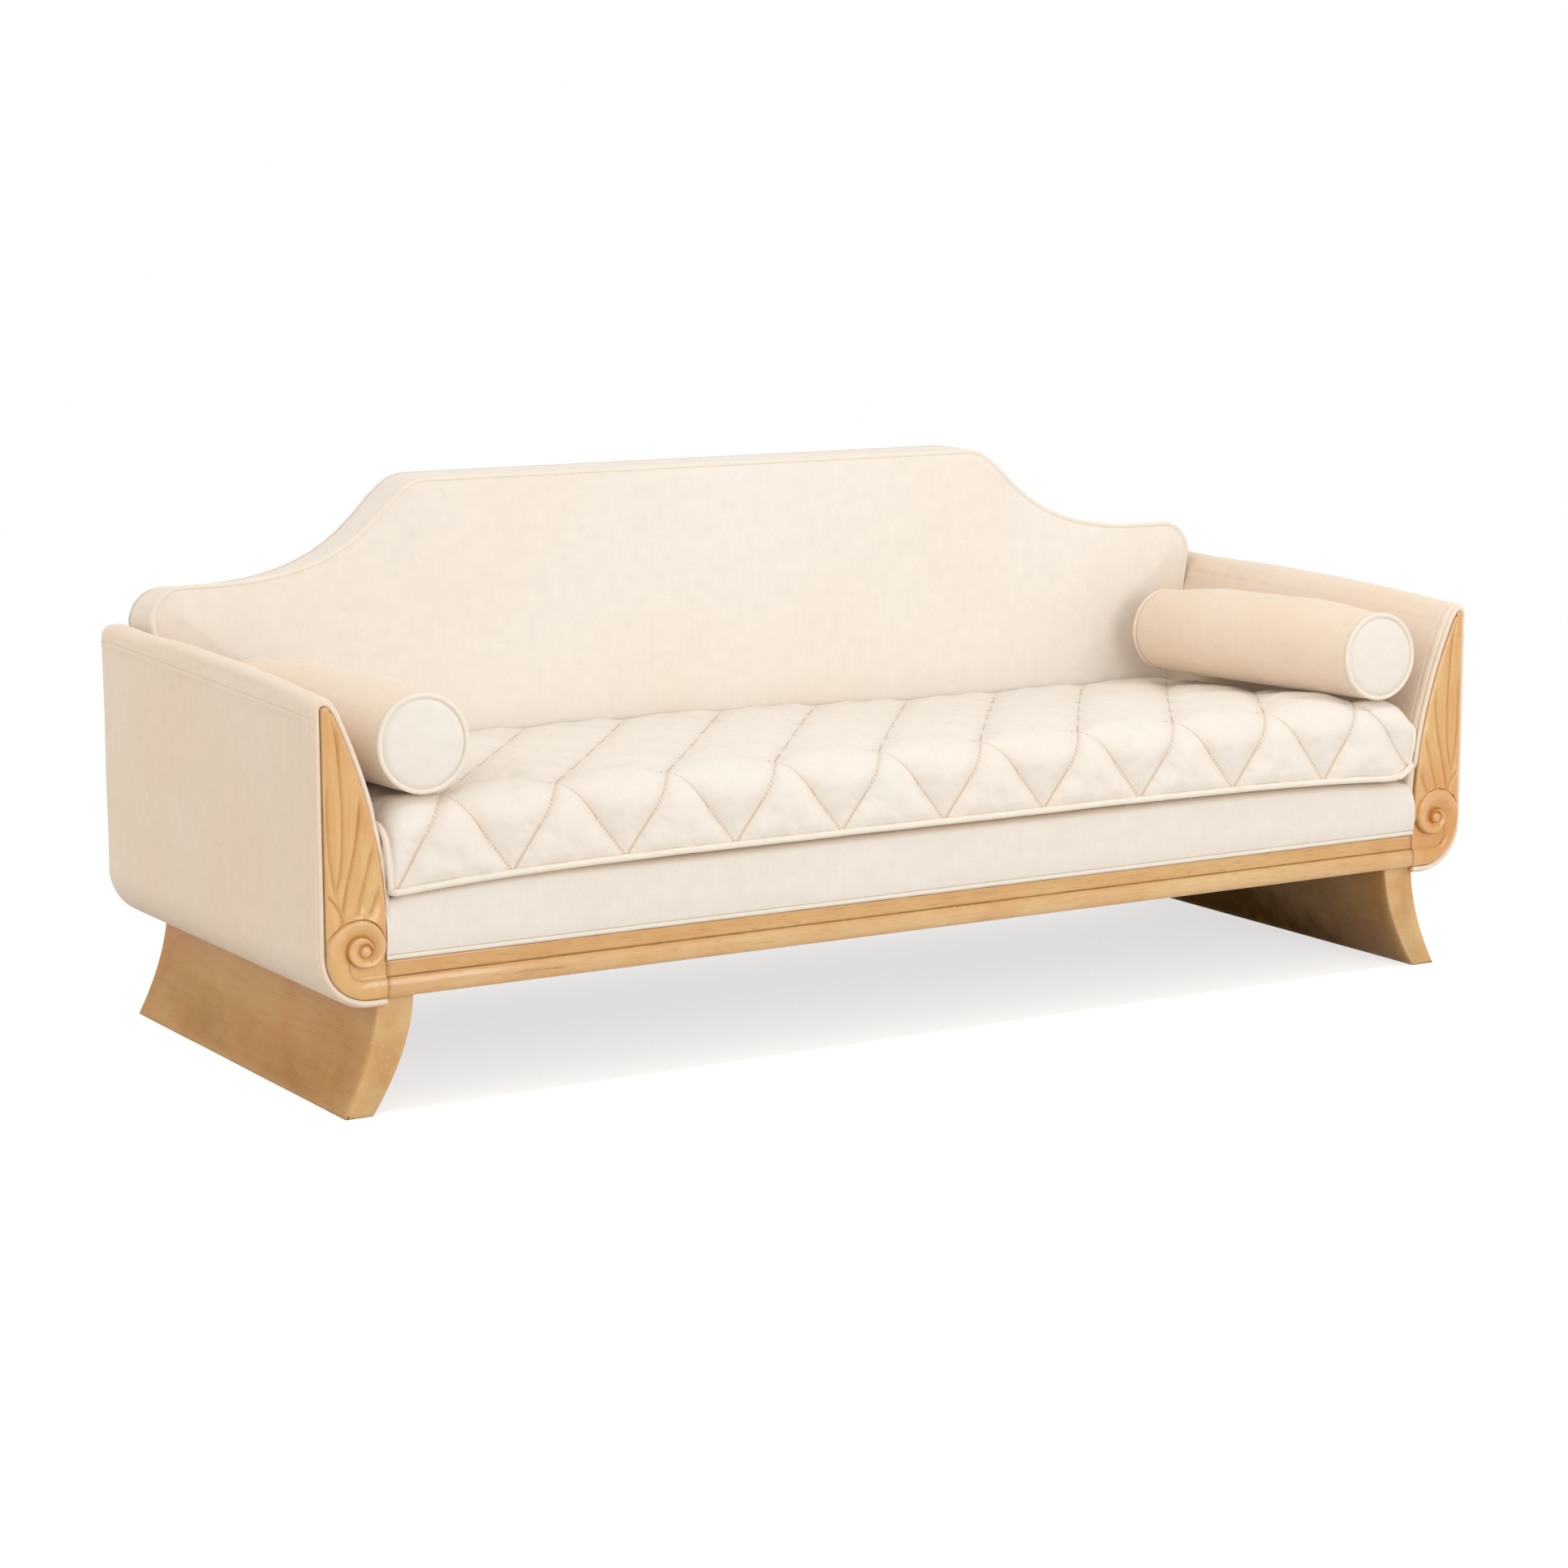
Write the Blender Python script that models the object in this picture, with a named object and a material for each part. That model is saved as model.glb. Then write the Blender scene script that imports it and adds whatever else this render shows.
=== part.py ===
"""Upholstered sofa with carved scroll facings, a quilted bench cushion and two bolsters.

Metres, +Z up. The front faces -Y and the origin is on the floor under the middle of the sofa.
Inside the sofa's own frame, y is measured back from the flat face of the wood facings.
"""
import math

import bmesh
import bpy
from mathutils import Vector
from mathutils.bvhtree import BVHTree

# Overall sizes
OVERALL_WIDTH = 2.144
OVERALL_DEPTH = 0.850
BACK_HEIGHT = 0.866
ARM_HEIGHT = 0.623
ARM_REAR_RISE = 0.024
LEG_HEIGHT = 0.178
DECK_HEIGHT = 0.3295
SEAT_SLOPE = math.radians(2.2)

# Clearance between touching pieces
GAP = 0.0003

# Upholstery
COVER = 0.012
COVER_PROUD = 0.0085
WELT_RADIUS = 0.0045
PANEL = 0.008
ARM_SWELL = 0.007
ARM_SWELL_START = 0.300
ARM_STATIONS = (0.0, 0.15, 0.5, 0.85, 1.0)

# Carved arm facings
FACING_THICKNESS = 0.022
FACING_FOOT_WIDTH = 0.0955
FACING_CORNER_RADIUS = 0.070
FACING_FLARE = 0.0835
FACING_SWEEP_START = 0.092
FACING_TIP_RADIUS = 0.0060
RELIEF = 0.005
SCROLL_FROM_EDGE = 0.0555
SCROLL_HEIGHT = 0.080
SCROLL_RATE = 0.149
SCROLL_GROOVE = 0.003
SCROLL_START = math.radians(-114)
SCROLL_END = math.radians(360)
SCROLL_STEPS = 26
SCROLL_EYE_RADIUS = 0.0085
SCROLL_MARGIN = 0.0015
FLUTE_WIDTH = 0.006
FLUTE_DEPTH = 0.003
FLUTE_BOW = 0.006
FLUTE_STEPS = 8
# Foot inset from the outer edge, foot height above the scroll, tip as a share of the plume
FLUTES = ((0.014, 0.081, 0.92), (0.019, 0.061, 0.77), (0.042, 0.054, 0.54), (0.062, 0.051, 0.40))

# Wood frame
FRONT_RAIL_THICKNESS = 0.045
RAIL_SHOW_HEIGHT = 0.055
BEAD_HEIGHT = 0.031
BEAD_DEPTH = 0.006
RAIL_REBATE = 0.020
REAR_FRAME_THICKNESS = 0.032
END_RAIL_THICKNESS = 0.045
ARM_BOARD_THICKNESS = 0.030
ARM_TOP_RAIL_HEIGHT = 0.050
ARM_TOP_RAIL_DROP = 0.065
BRACE_WIDTH = 0.040
BRACE_HEIGHT = 0.060
BRACE_SHARE = 0.313
CORNER_BLOCK = 0.070
CORNER_BLOCK_HEIGHT = 0.040
POST_WIDTH = 0.050
MIDDLE_POST_SHARE = 0.334
TOP_RAIL_HEIGHT = 0.055

# Trestle legs
TRESTLE_SETBACK = 0.017
TRESTLE_OVERLAP = 0.010
TRESTLE_TOP_THICKNESS = 0.059
TRESTLE_FOOT_THICKNESS = 0.046
TRESTLE_SPLAY = 0.055
TRESTLE_CURVE = 1.8
TRESTLE_STEPS = 9
BOLT_RADIUS = 0.005
BOLT_HEAD_RADIUS = 0.011
BOLT_HEAD_HEIGHT = 0.006
BOLT_BITE = 0.060
BOLT_INSET = 0.150
BOLT_SIDES = 8

# Springs, webbing and dust cover
SPRING_COUNT = 6
SPRING_SIDE_INSET = 0.2084
SPRING_WIRE_RADIUS = 0.002
SPRING_HALF_WIDTH = 0.022
SPRING_LOOPS = 14
SPRING_END_INSET = 0.006
WEB_THICKNESS = 0.0025
WEB_WIDTH = 0.050
WEB_UPRIGHTS = 8
WEB_CROSSINGS = 4
WEB_MARGIN = 0.030
DUST_COVER = 0.0025
DUST_COVER_INSET = 0.015
DUST_COVER_CLEARANCE = 0.0008

# Deck
DECK_THICKNESS = 0.020
DECK_FACE = 0.003
DECK_BULGE = 0.004
DECK_ROUND = 0.010

# Back
BACK_THICKNESS = 0.0945
BACK_CROWN = 0.032
BACK_LEAN = math.radians(2.0)
BACK_WELT_PROUD = 0.003
BACK_SHOULDER = 0.7095
BACK_SHOULDER_FALL = 0.010
BACK_TOP_RISE = 0.004
BACK_END_INSET = 0.045
BACK_END_RADIUS = 0.055
BACK_END_SLOPE = 0.18
BACK_TOP_INSET = 0.494
BACK_SWEEP_INSET = 0.107
BACK_TOP_HANDLE = 0.095
BACK_LOW_HANDLE = 0.300
SIDE_CLEARANCE = 0.0016
SPINE_INSET = 0.227
CROWN_STEPS = (0.08, 0.22, 0.45, 0.80)

# Bench cushion
CUSHION_OVERHANG = 0.003
CUSHION_EDGE = 0.108
CUSHION_CROWN = 0.028
CUSHION_CROWN_POWER = 36
CUSHION_SEAM = 0.012
CUSHION_FRONT_RADIUS = 0.045
CUSHION_DRAW_IN = 0.004
CUSHION_CLEARANCE = 0.0006
QUILT_WIDE = 10
QUILT_DEEP = 3
QUILT_STEPS = 3
QUILT_PUFF = 0.012

# Bolsters
BOLSTER_RADIUS = 0.0745
BOLSTER_TAPER = 0.0035
BOLSTER_INSET = 0.0635
BOLSTER_SETBACK = 0.010
BOLSTER_BACK_SPACE = 0.075
BOLSTER_CAP_CROWN = 0.005
# Rise of an end cap as a share of its crown, and the ring's share of its radius
BOLSTER_CAP_SHAPE = ((1.0, 0.45), (0.6, 0.8), (0.0, 1.0))
BOLSTER_WELT_RADIUS = 0.0036
BOLSTER_SIDES = 20
REST_STEPS = 80

# Values worked out from the sizes above
FRONT_Y = -CUSHION_OVERHANG - GAP - 2 * WELT_RADIUS
REAR_Y = FRONT_Y + OVERALL_DEPTH
FRAME_REAR = REAR_Y - PANEL - GAP
FRAME_FRONT = FRAME_REAR - REAR_FRAME_THICKNESS
WOOD_OUT = OVERALL_WIDTH / 2 - COVER_PROUD
WOOD_IN = WOOD_OUT - FACING_FOOT_WIDTH
TIP_Z = ARM_HEIGHT - COVER_PROUD
SWEEP_Z = LEG_HEIGHT + FACING_SWEEP_START
BOARD_INSET = COVER - COVER_PROUD + GAP
BOARD_FRONT = FACING_THICKNESS + GAP
BOARD_BACK = BOARD_FRONT + ARM_BOARD_THICKNESS
RAIL_BACK = FRONT_RAIL_THICKNESS
RAIL_SHOW_TOP = LEG_HEIGHT + RAIL_SHOW_HEIGHT
END_RAIL_OUT = WOOD_IN + BOARD_INSET - GAP
END_RAIL_IN = END_RAIL_OUT - END_RAIL_THICKNESS
SEAT_HALF = WOOD_IN - 2 * WELT_RADIUS - 2 * GAP
BEAD_WELT_TOP = RAIL_SHOW_TOP + 2 * WELT_RADIUS + 2 * GAP
REAR_SHOULDER = BACK_SHOULDER - BACK_SHOULDER_FALL
FACE_HEIGHT = BACK_HEIGHT - BACK_TOP_RISE
BACK_END = OVERALL_WIDTH / 2 - BACK_END_INSET
BACK_TOP_HALF = BACK_END - BACK_TOP_INSET
BACK_SWEEP_END = BACK_END - BACK_SWEEP_INSET
SPINE_HALF = BACK_END - SPINE_INSET
BRACE_X = SEAT_HALF * BRACE_SHARE
MIDDLE_POST_X = SEAT_HALF * MIDDLE_POST_SHARE
SPRING_PITCH = 2 * (SEAT_HALF - SPRING_SIDE_INSET) / (SPRING_COUNT - 1)


def material(name, colour, roughness, metallic=0.0):
    finish = bpy.data.materials.new(name)
    finish.use_nodes = True
    shader = finish.node_tree.nodes["Principled BSDF"]
    shader.inputs["Base Color"].default_value = (*colour, 1.0)
    shader.inputs["Roughness"].default_value = roughness
    shader.inputs["Metallic"].default_value = metallic
    finish.diffuse_color = (*colour, 1.0)
    return finish


def clear_scene():
    for item in list(bpy.data.objects):
        bpy.data.objects.remove(item, do_unlink=True)


def place(name, data, finish, parent):
    item = bpy.data.objects.new(name, data)
    data.materials.append(finish)
    item.parent = parent
    bpy.context.collection.objects.link(item)
    return item


def mesh_piece(name, bm, finish, parent):
    bmesh.ops.remove_doubles(bm, verts=bm.verts, dist=1e-6)
    bmesh.ops.recalc_face_normals(bm, faces=bm.faces)
    mesh = bpy.data.meshes.new(name)
    bm.to_mesh(mesh)
    bm.free()
    return place(name, mesh, finish, parent)


def loft(name, rings, finish, parent):
    """A closed solid through rings of equal point count, capped at both ends."""
    bm = bmesh.new()
    rows = [[bm.verts.new(point) for point in ring] for ring in rings]
    count = len(rows[0])
    for low, high in zip(rows, rows[1:]):
        for k in range(count):
            n = (k + 1) % count
            bm.faces.new((low[k], low[n], high[n], high[k]))
    bm.faces.new(rows[0])
    bm.faces.new(rows[-1])
    return mesh_piece(name, bm, finish, parent)


def prism_xz(name, outline, y_low, y_high, finish, parent):
    rings = [[(x, y, z) for x, z in outline] for y in (y_low, y_high)]
    return loft(name, rings, finish, parent)


def prism_yz(name, outline, x_low, x_high, finish, parent):
    rings = [[(x, y, z) for y, z in outline] for x in (x_low, x_high)]
    return loft(name, rings, finish, parent)


def prism_xy(name, outline, z_low, z_high, finish, parent):
    rings = [[(x, y, z) for x, y in outline] for z in (z_low, z_high)]
    return loft(name, rings, finish, parent)


def block(name, x_range, y_range, z_range, finish, parent):
    (x0, x1), (y0, y1) = sorted(x_range), sorted(y_range)
    outline = ((x0, y0), (x1, y0), (x1, y1), (x0, y1))
    return prism_xy(name, outline, z_range[0], z_range[1], finish, parent)


def tube(name, points, radius, finish, parent, closed=False, sides_level=1):
    """A welt or wire: a bevelled curve along the points."""
    curve = bpy.data.curves.new(name, "CURVE")
    curve.dimensions = "3D"
    curve.bevel_depth = radius
    curve.bevel_resolution = sides_level
    curve.use_fill_caps = not closed
    spline = curve.splines.new("POLY")
    spline.points.add(len(points) - 1)
    for slot, point in zip(spline.points, points):
        slot.co = (*point, 1.0)
    spline.use_cyclic_u = closed
    return place(name, curve, finish, parent)


def as_tool(item):
    item.hide_render = True
    item.display_type = "WIRE"
    return item


def combine(item, tool, operation):
    step = item.modifiers.new(tool.name, "BOOLEAN")
    step.operation = operation
    step.solver = "EXACT"
    step.object = as_tool(tool)


def arc(centre, radius, start_deg, end_deg, steps):
    angles = [math.radians(start_deg + (end_deg - start_deg) * k / steps) for k in range(steps + 1)]
    return [(centre[0] + radius * math.cos(a), centre[1] + radius * math.sin(a)) for a in angles]


def bezier(p0, p1, p2, p3, steps):
    points = []
    for k in range(steps + 1):
        t = k / steps
        w = ((1 - t) ** 3, 3 * t * (1 - t) ** 2, 3 * t * t * (1 - t), t ** 3)
        points.append(tuple(sum(v * p[n] for v, p in zip(w, (p0, p1, p2, p3))) for n in (0, 1)))
    return points


def inset(outline, distance):
    """Move a counter-clockwise outline inwards by the same distance all round."""
    moved = []
    count = len(outline)
    for k in range(count):
        before, here, after = outline[k - 1], outline[k], outline[(k + 1) % count]
        a = (Vector(here) - Vector(before)).normalized()
        b = (Vector(after) - Vector(here)).normalized()
        normal_a = Vector((-a.y, a.x))
        normal_b = Vector((-b.y, b.x))
        middle = (normal_a + normal_b).normalized()
        reach = distance / max(middle.dot(normal_a), 0.3)
        moved.append((here[0] + middle.x * reach, here[1] + middle.y * reach))
    return moved


def mirrored(points, side):
    return [(side * p[0], *p[1:]) for p in points]


def sides():
    return (("left", -1), ("right", 1))


def deck_z(y):
    """Height of the deck's top surface, which falls towards the back."""
    return DECK_HEIGHT - y * math.tan(SEAT_SLOPE)


def spring_seat_z(y):
    """Top of the rails that the springs lie on."""
    return deck_z(y) - DECK_THICKNESS - 2 * SPRING_WIRE_RADIUS - 2 * GAP


def arm_rise(y):
    """How far the arm's tip has risen at a depth: none at the facing, most at the rear."""
    return ARM_REAR_RISE * max(0.0, y - BOARD_FRONT) / (FRAME_REAR - BOARD_FRONT)


def inner_edge(z, rise=0.0):
    """Inner edge of an arm's wood at a height, and its slope, where the tip has risen."""
    tall = TIP_Z + rise - SWEEP_Z
    share = max(0.0, (z - SWEEP_Z) / tall)
    slope = 2 * FACING_FLARE * share / tall
    return WOOD_IN + FACING_FLARE * share * share, slope


def arm_inner_x(z):
    """Inner surface of an arm cover at a height, at the rear, where the risen arm stands closest."""
    x, slope = inner_edge(z, ARM_REAR_RISE)
    return x - COVER_PROUD * math.hypot(1.0, slope)


def arm_outline(grow, foot_x, rise=0.0):
    """Arm section from its underside, round the outer side and the tip, to the inner side's foot."""
    corner = (WOOD_OUT - FACING_CORNER_RADIUS, LEG_HEIGHT + FACING_CORNER_RADIUS)
    tip = (WOOD_OUT - FACING_TIP_RADIUS, TIP_Z + rise - FACING_TIP_RADIUS)
    points = [(foot_x, LEG_HEIGHT - grow)]
    points += arc(corner, FACING_CORNER_RADIUS + grow, -90, 0, 6)
    points += arc(tip, FACING_TIP_RADIUS + grow, 0, 140, 4)
    for share in (0.93, 0.80, 0.65, 0.48, 0.30, 0.0):
        z = SWEEP_Z + share * (TIP_Z + rise - SWEEP_Z)
        x, slope = inner_edge(z, rise)
        length = math.hypot(1.0, slope)
        points.append((x - grow / length, z + grow * slope / length))
    return points


def arm_closed_outline(grow, rise=0.0):
    return arm_outline(grow, WOOD_IN - grow, rise)


def back_side_x(z, shoulder):
    """Side of the back: tapering below its rounded end, and clear of the arm."""
    corner_z = shoulder - BACK_END_RADIUS
    taper_x = BACK_END - BACK_END_SLOPE * max(0.0, corner_z - z)
    return min(taper_x, arm_inner_x(z) - SIDE_CLEARANCE - BACK_WELT_PROUD)


def back_outline(bottom_z, shoulder, height):
    """Front view of the back, counter-clockwise from its lower right corner."""
    corner = (BACK_END - BACK_END_RADIUS, shoulder - BACK_END_RADIUS)
    right = []
    for k in range(6):
        z = bottom_z + (corner[1] - bottom_z) * k / 6
        right.append((back_side_x(z, shoulder), z))
    right += arc(corner, BACK_END_RADIUS, 0, 90, 5)
    right += bezier((BACK_SWEEP_END, shoulder), (BACK_SWEEP_END - BACK_LOW_HANDLE, shoulder),
                    (BACK_TOP_HALF + BACK_TOP_HANDLE, height), (BACK_TOP_HALF, height), 8)
    return right + mirrored(right[::-1], -1)


def face_outline():
    """Outline of the back where its boxing meets the face."""
    return back_outline(back_bottom(), BACK_SHOULDER, FACE_HEIGHT)


def rear_outline(bottom_z):
    """Outline of the back where its boxing meets the outside back."""
    return back_outline(bottom_z, REAR_SHOULDER, BACK_HEIGHT)


def back_welt_y(z):
    """Plane of the welt round the back's face, which leans back."""
    return FRAME_REAR - BACK_THICKNESS + (z - BACK_SHOULDER) * math.tan(BACK_LEAN)


def back_bottom():
    return deck_z(FRAME_REAR - BACK_THICKNESS - BACK_CROWN - BACK_SHOULDER * math.tan(BACK_LEAN)) + GAP


def back_ledge():
    """Outline of the padded face, inside the welt."""
    return inset(face_outline(), 2 * WELT_RADIUS + 2 * GAP - BACK_WELT_PROUD)


def back_crown_rings():
    """Rings of the padded face, from its edge to the middle."""
    edge = back_ledge()
    spine_z = (back_bottom() + BACK_SHOULDER) / 2
    rings = []
    for share in CROWN_STEPS:
        rise = BACK_CROWN * (1 - (1 - share / CROWN_STEPS[-1]) ** 2)
        ring = []
        for x, z in edge:
            spine_x = max(-SPINE_HALF, min(SPINE_HALF, x))
            px = x + (spine_x - x) * share
            pz = z + (spine_z - z) * share
            ring.append((px, back_welt_y(pz) - rise, pz))
        rings.append(ring)
    return rings


def back_reach():
    """Foremost point of the back's padded face."""
    return min(point[1] for ring in back_crown_rings() for point in ring)


def trestle_x(z, inner):
    """Outer or inner face of a trestle at a height."""
    top_z = LEG_HEIGHT - GAP
    share = ((top_z - z) / top_z) ** TRESTLE_CURVE
    top_out = WOOD_IN + TRESTLE_OVERLAP
    if not inner:
        return top_out + TRESTLE_SPLAY * share
    foot_in = top_out + TRESTLE_SPLAY - TRESTLE_FOOT_THICKNESS
    top_in = top_out - TRESTLE_TOP_THICKNESS
    return top_in + (foot_in - top_in) * share


def bolt_x():
    return (END_RAIL_OUT + END_RAIL_IN) / 2


def bolt_places():
    return (("front", RAIL_BACK + BOLT_INSET), ("rear", FRAME_FRONT - BOLT_INSET))


def octagon(x, y, z, radius):
    turn = 2 * math.pi / BOLT_SIDES
    return [(x + radius * math.cos(k * turn), y + radius * math.sin(k * turn), z) for k in range(BOLT_SIDES)]


def end_rail_top():
    return spring_seat_z(FRAME_REAR)


def build_trestles(wood, steel, parent):
    top_z = LEG_HEIGHT - GAP
    heights = [top_z * (1 - k / TRESTLE_STEPS) for k in range(TRESTLE_STEPS + 1)]
    outline = [(trestle_x(z, False), z) for z in heights] + [(trestle_x(z, True), z) for z in heights[::-1]]
    for name, side in sides():
        trestle = prism_xz(f"trestle_{name}", mirrored(outline, side), TRESTLE_SETBACK, FRAME_REAR,
                           wood, parent)
        rail = block(f"end_rail_{name}", (side * END_RAIL_IN, side * END_RAIL_OUT),
                     (RAIL_BACK + GAP, FRAME_FRONT - GAP), (LEG_HEIGHT, end_rail_top()), wood, parent)
        for spot, y in bolt_places():
            build_bolt(f"{spot}_{name}", side * bolt_x(), y, (trestle, rail), steel, parent)


def build_bolt(spot, x, y, held, steel, parent):
    """A bolt down through the end rail into the trestle, and the hole that it sits in."""
    low = LEG_HEIGHT - BOLT_BITE
    seat = end_rail_top() + GAP
    shank = [octagon(x, y, z, BOLT_RADIUS) for z in (low, seat)]
    head = [octagon(x, y, z, BOLT_HEAD_RADIUS) for z in (seat, seat + BOLT_HEAD_HEIGHT)]
    loft(f"trestle_bolt_{spot}", shank + head, steel, parent)
    for k, item in enumerate(held):
        hole = [octagon(x, y, z, BOLT_RADIUS + GAP) for z in (low - GAP, seat + BOLT_HEAD_HEIGHT)]
        combine(item, loft(f"bolt_hole_{spot}_{k}", hole, steel, parent), "DIFFERENCE")


def build_seat_frame(wood, parent):
    bead_mid = LEG_HEIGHT + BEAD_HEIGHT / 2
    bead = [(BEAD_DEPTH * (1 - math.cos(a)), bead_mid + BEAD_HEIGHT / 2 * math.sin(a))
            for a in (math.radians(-80 + 20 * k) for k in range(9))]
    profile = [(RAIL_BACK, LEG_HEIGHT), (BEAD_DEPTH, LEG_HEIGHT)] + bead
    profile += [(BEAD_DEPTH, LEG_HEIGHT + BEAD_HEIGHT), (BEAD_DEPTH, RAIL_SHOW_TOP)]
    profile += [(RAIL_REBATE, RAIL_SHOW_TOP)]
    profile += [(y, spring_seat_z(y)) for y in (RAIL_REBATE, RAIL_BACK)]
    prism_yz("front_rail", profile, -WOOD_IN + GAP, WOOD_IN - GAP, wood, parent)
    rear = [(FRAME_FRONT, LEG_HEIGHT), (FRAME_REAR, LEG_HEIGHT)]
    rear += [(y, spring_seat_z(y)) for y in (FRAME_REAR, FRAME_FRONT)]
    prism_yz("rear_rail", rear, -END_RAIL_OUT, END_RAIL_OUT, wood, parent)
    inside = (RAIL_BACK + GAP, FRAME_FRONT - GAP)
    for name, side in sides():
        brace = (side * (BRACE_X - BRACE_WIDTH / 2), side * (BRACE_X + BRACE_WIDTH / 2))
        block(f"seat_brace_{name}", brace, inside, (LEG_HEIGHT, LEG_HEIGHT + BRACE_HEIGHT), wood, parent)
        for spot, y, turn in (("front", inside[0], 1), ("rear", inside[1], -1)):
            x = END_RAIL_IN - GAP
            corner = [(x, y), (x, y + turn * CORNER_BLOCK), (x - CORNER_BLOCK, y)]
            prism_xy(f"corner_block_{spot}_{name}", mirrored(corner, side), LEG_HEIGHT,
                     LEG_HEIGHT + CORNER_BLOCK_HEIGHT, wood, parent)


def build_springs(steel, parent):
    front = RAIL_REBATE + SPRING_END_INSET
    step = (FRAME_REAR - SPRING_END_INSET - front) / SPRING_LOOPS
    for n in range(SPRING_COUNT):
        x = (n - (SPRING_COUNT - 1) / 2) * SPRING_PITCH
        path = []
        for k in range(SPRING_LOOPS + 1):
            y = front + k * step
            z = deck_z(y) - DECK_THICKNESS - GAP - SPRING_WIRE_RADIUS
            turn = 1 if k % 2 else -1
            path += [(x - turn * SPRING_HALF_WIDTH, y, z), (x + turn * SPRING_HALF_WIDTH, y, z)]
        tube(f"seat_spring_{n + 1}", path, SPRING_WIRE_RADIUS, steel, parent, sides_level=0)


def build_deck(fabric, welt, lining, parent):
    band_back = RAIL_REBATE - GAP
    deck_rear = FRAME_FRONT - GAP
    face_mid = (BEAD_WELT_TOP + DECK_HEIGHT) / 2
    section = [(band_back, BEAD_WELT_TOP), (DECK_FACE, BEAD_WELT_TOP), (DECK_FACE - DECK_BULGE, face_mid)]
    nose_y = DECK_FACE + DECK_ROUND
    section += arc((nose_y, deck_z(nose_y) - DECK_ROUND), DECK_ROUND, 180, 90, 3)
    section += [(deck_rear, deck_z(deck_rear)), (deck_rear, deck_z(deck_rear) - DECK_THICKNESS)]
    section += [(band_back, deck_z(band_back) - DECK_THICKNESS)]
    prism_yz("seat_deck", section, -SEAT_HALF, SEAT_HALF, fabric, parent)
    spot = (DECK_FACE + WELT_RADIUS, RAIL_SHOW_TOP + GAP + WELT_RADIUS)
    tube("deck_welt", [(x, *spot) for x in (-SEAT_HALF, SEAT_HALF)], WELT_RADIUS, welt, parent)
    half = trestle_x(LEG_HEIGHT - GAP, True) - DUST_COVER_CLEARANCE
    block("dust_cover", (-half, half), (RAIL_REBATE + DUST_COVER_INSET, FRAME_REAR - DUST_COVER_INSET),
          (LEG_HEIGHT - DUST_COVER - GAP, LEG_HEIGHT - GAP), lining, parent)


def scroll_edge(angle):
    """Outer edge of the scroll band: the facing's own outline first, then the spiral."""
    if angle >= 0.0:
        return SCROLL_FROM_EDGE * math.exp(-SCROLL_RATE * angle) - SCROLL_GROOVE / 2
    to_floor = (SCROLL_HEIGHT - SCROLL_MARGIN) / max(-math.sin(angle), 1e-6)
    to_side = (SCROLL_FROM_EDGE - SCROLL_MARGIN) / max(math.cos(angle), 1e-6)
    shift = Vector((SCROLL_FROM_EDGE - FACING_CORNER_RADIUS, FACING_CORNER_RADIUS - SCROLL_HEIGHT))
    ray = Vector((math.cos(angle), math.sin(angle)))
    along = ray.dot(shift)
    square = along * along - shift.length_squared + (FACING_CORNER_RADIUS - SCROLL_MARGIN) ** 2
    to_corner = along + math.sqrt(max(square, 0.0))
    below = ray.x * to_floor > shift.x
    return min(to_floor, to_side, to_corner) if below else to_floor


def scroll_rings(side):
    """Sections across the spiral band, from the rail joint in to the eye."""
    shape = ((0.0, 0.15), (0.25, 0.75), (0.6, 1.0), (0.88, 0.75), (1.0, 0.2))
    rings = []
    for k in range(SCROLL_STEPS + 1):
        angle = SCROLL_START + (SCROLL_END - SCROLL_START) * k / SCROLL_STEPS
        low = SCROLL_FROM_EDGE * math.exp(-SCROLL_RATE * (angle + 2 * math.pi)) + SCROLL_GROOVE / 2
        high = scroll_edge(angle)
        section = [(low + (high - low) * f, -RELIEF * h) for f, h in shape]
        section += [(high, RELIEF), (low, RELIEF)]
        rings.append([(side * (WOOD_OUT - SCROLL_FROM_EDGE + r * math.cos(angle)), y,
                       LEG_HEIGHT + SCROLL_HEIGHT + r * math.sin(angle)) for r, y in section])
    return rings


def eye_rings(side):
    shape = ((1.0, 1.0), (1.0, -0.3), (0.75, -0.8), (0.35, -1.0))
    middle = (WOOD_OUT - SCROLL_FROM_EDGE, LEG_HEIGHT + SCROLL_HEIGHT)
    rings = []
    for size, lift in shape:
        ring = arc(middle, SCROLL_EYE_RADIUS * size, 0, 330, 11)
        rings.append([(side * x, RELIEF * lift, z) for x, z in ring])
    return rings


def flute_rings(side, foot_inset, foot_rise, tip_share):
    """A tapering V-shaped groove from the scroll up to the inner edge of the plume."""
    foot = Vector((WOOD_OUT - foot_inset, LEG_HEIGHT + SCROLL_HEIGHT + foot_rise))
    tip_z = LEG_HEIGHT + tip_share * (TIP_Z - LEG_HEIGHT)
    tip = Vector((inner_edge(tip_z)[0] + FLUTE_WIDTH, tip_z))
    along = (tip - foot).normalized()
    across = Vector((along.y, -along.x))
    rings = []
    for k in range(FLUTE_STEPS + 1):
        t = k / FLUTE_STEPS
        swell = math.sin(math.pi * (0.08 + 0.84 * t))
        middle = foot.lerp(tip, t) + across * FLUTE_BOW * math.sin(math.pi * t)
        half = FLUTE_WIDTH / 2 * swell
        left, right = middle - across * half, middle + across * half
        rings.append([(side * left.x, 0.0, left.y), (side * middle.x, FLUTE_DEPTH * swell, middle.y),
                      (side * right.x, 0.0, right.y), (side * middle.x, -FLUTE_DEPTH, middle.y)])
    return rings


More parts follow.
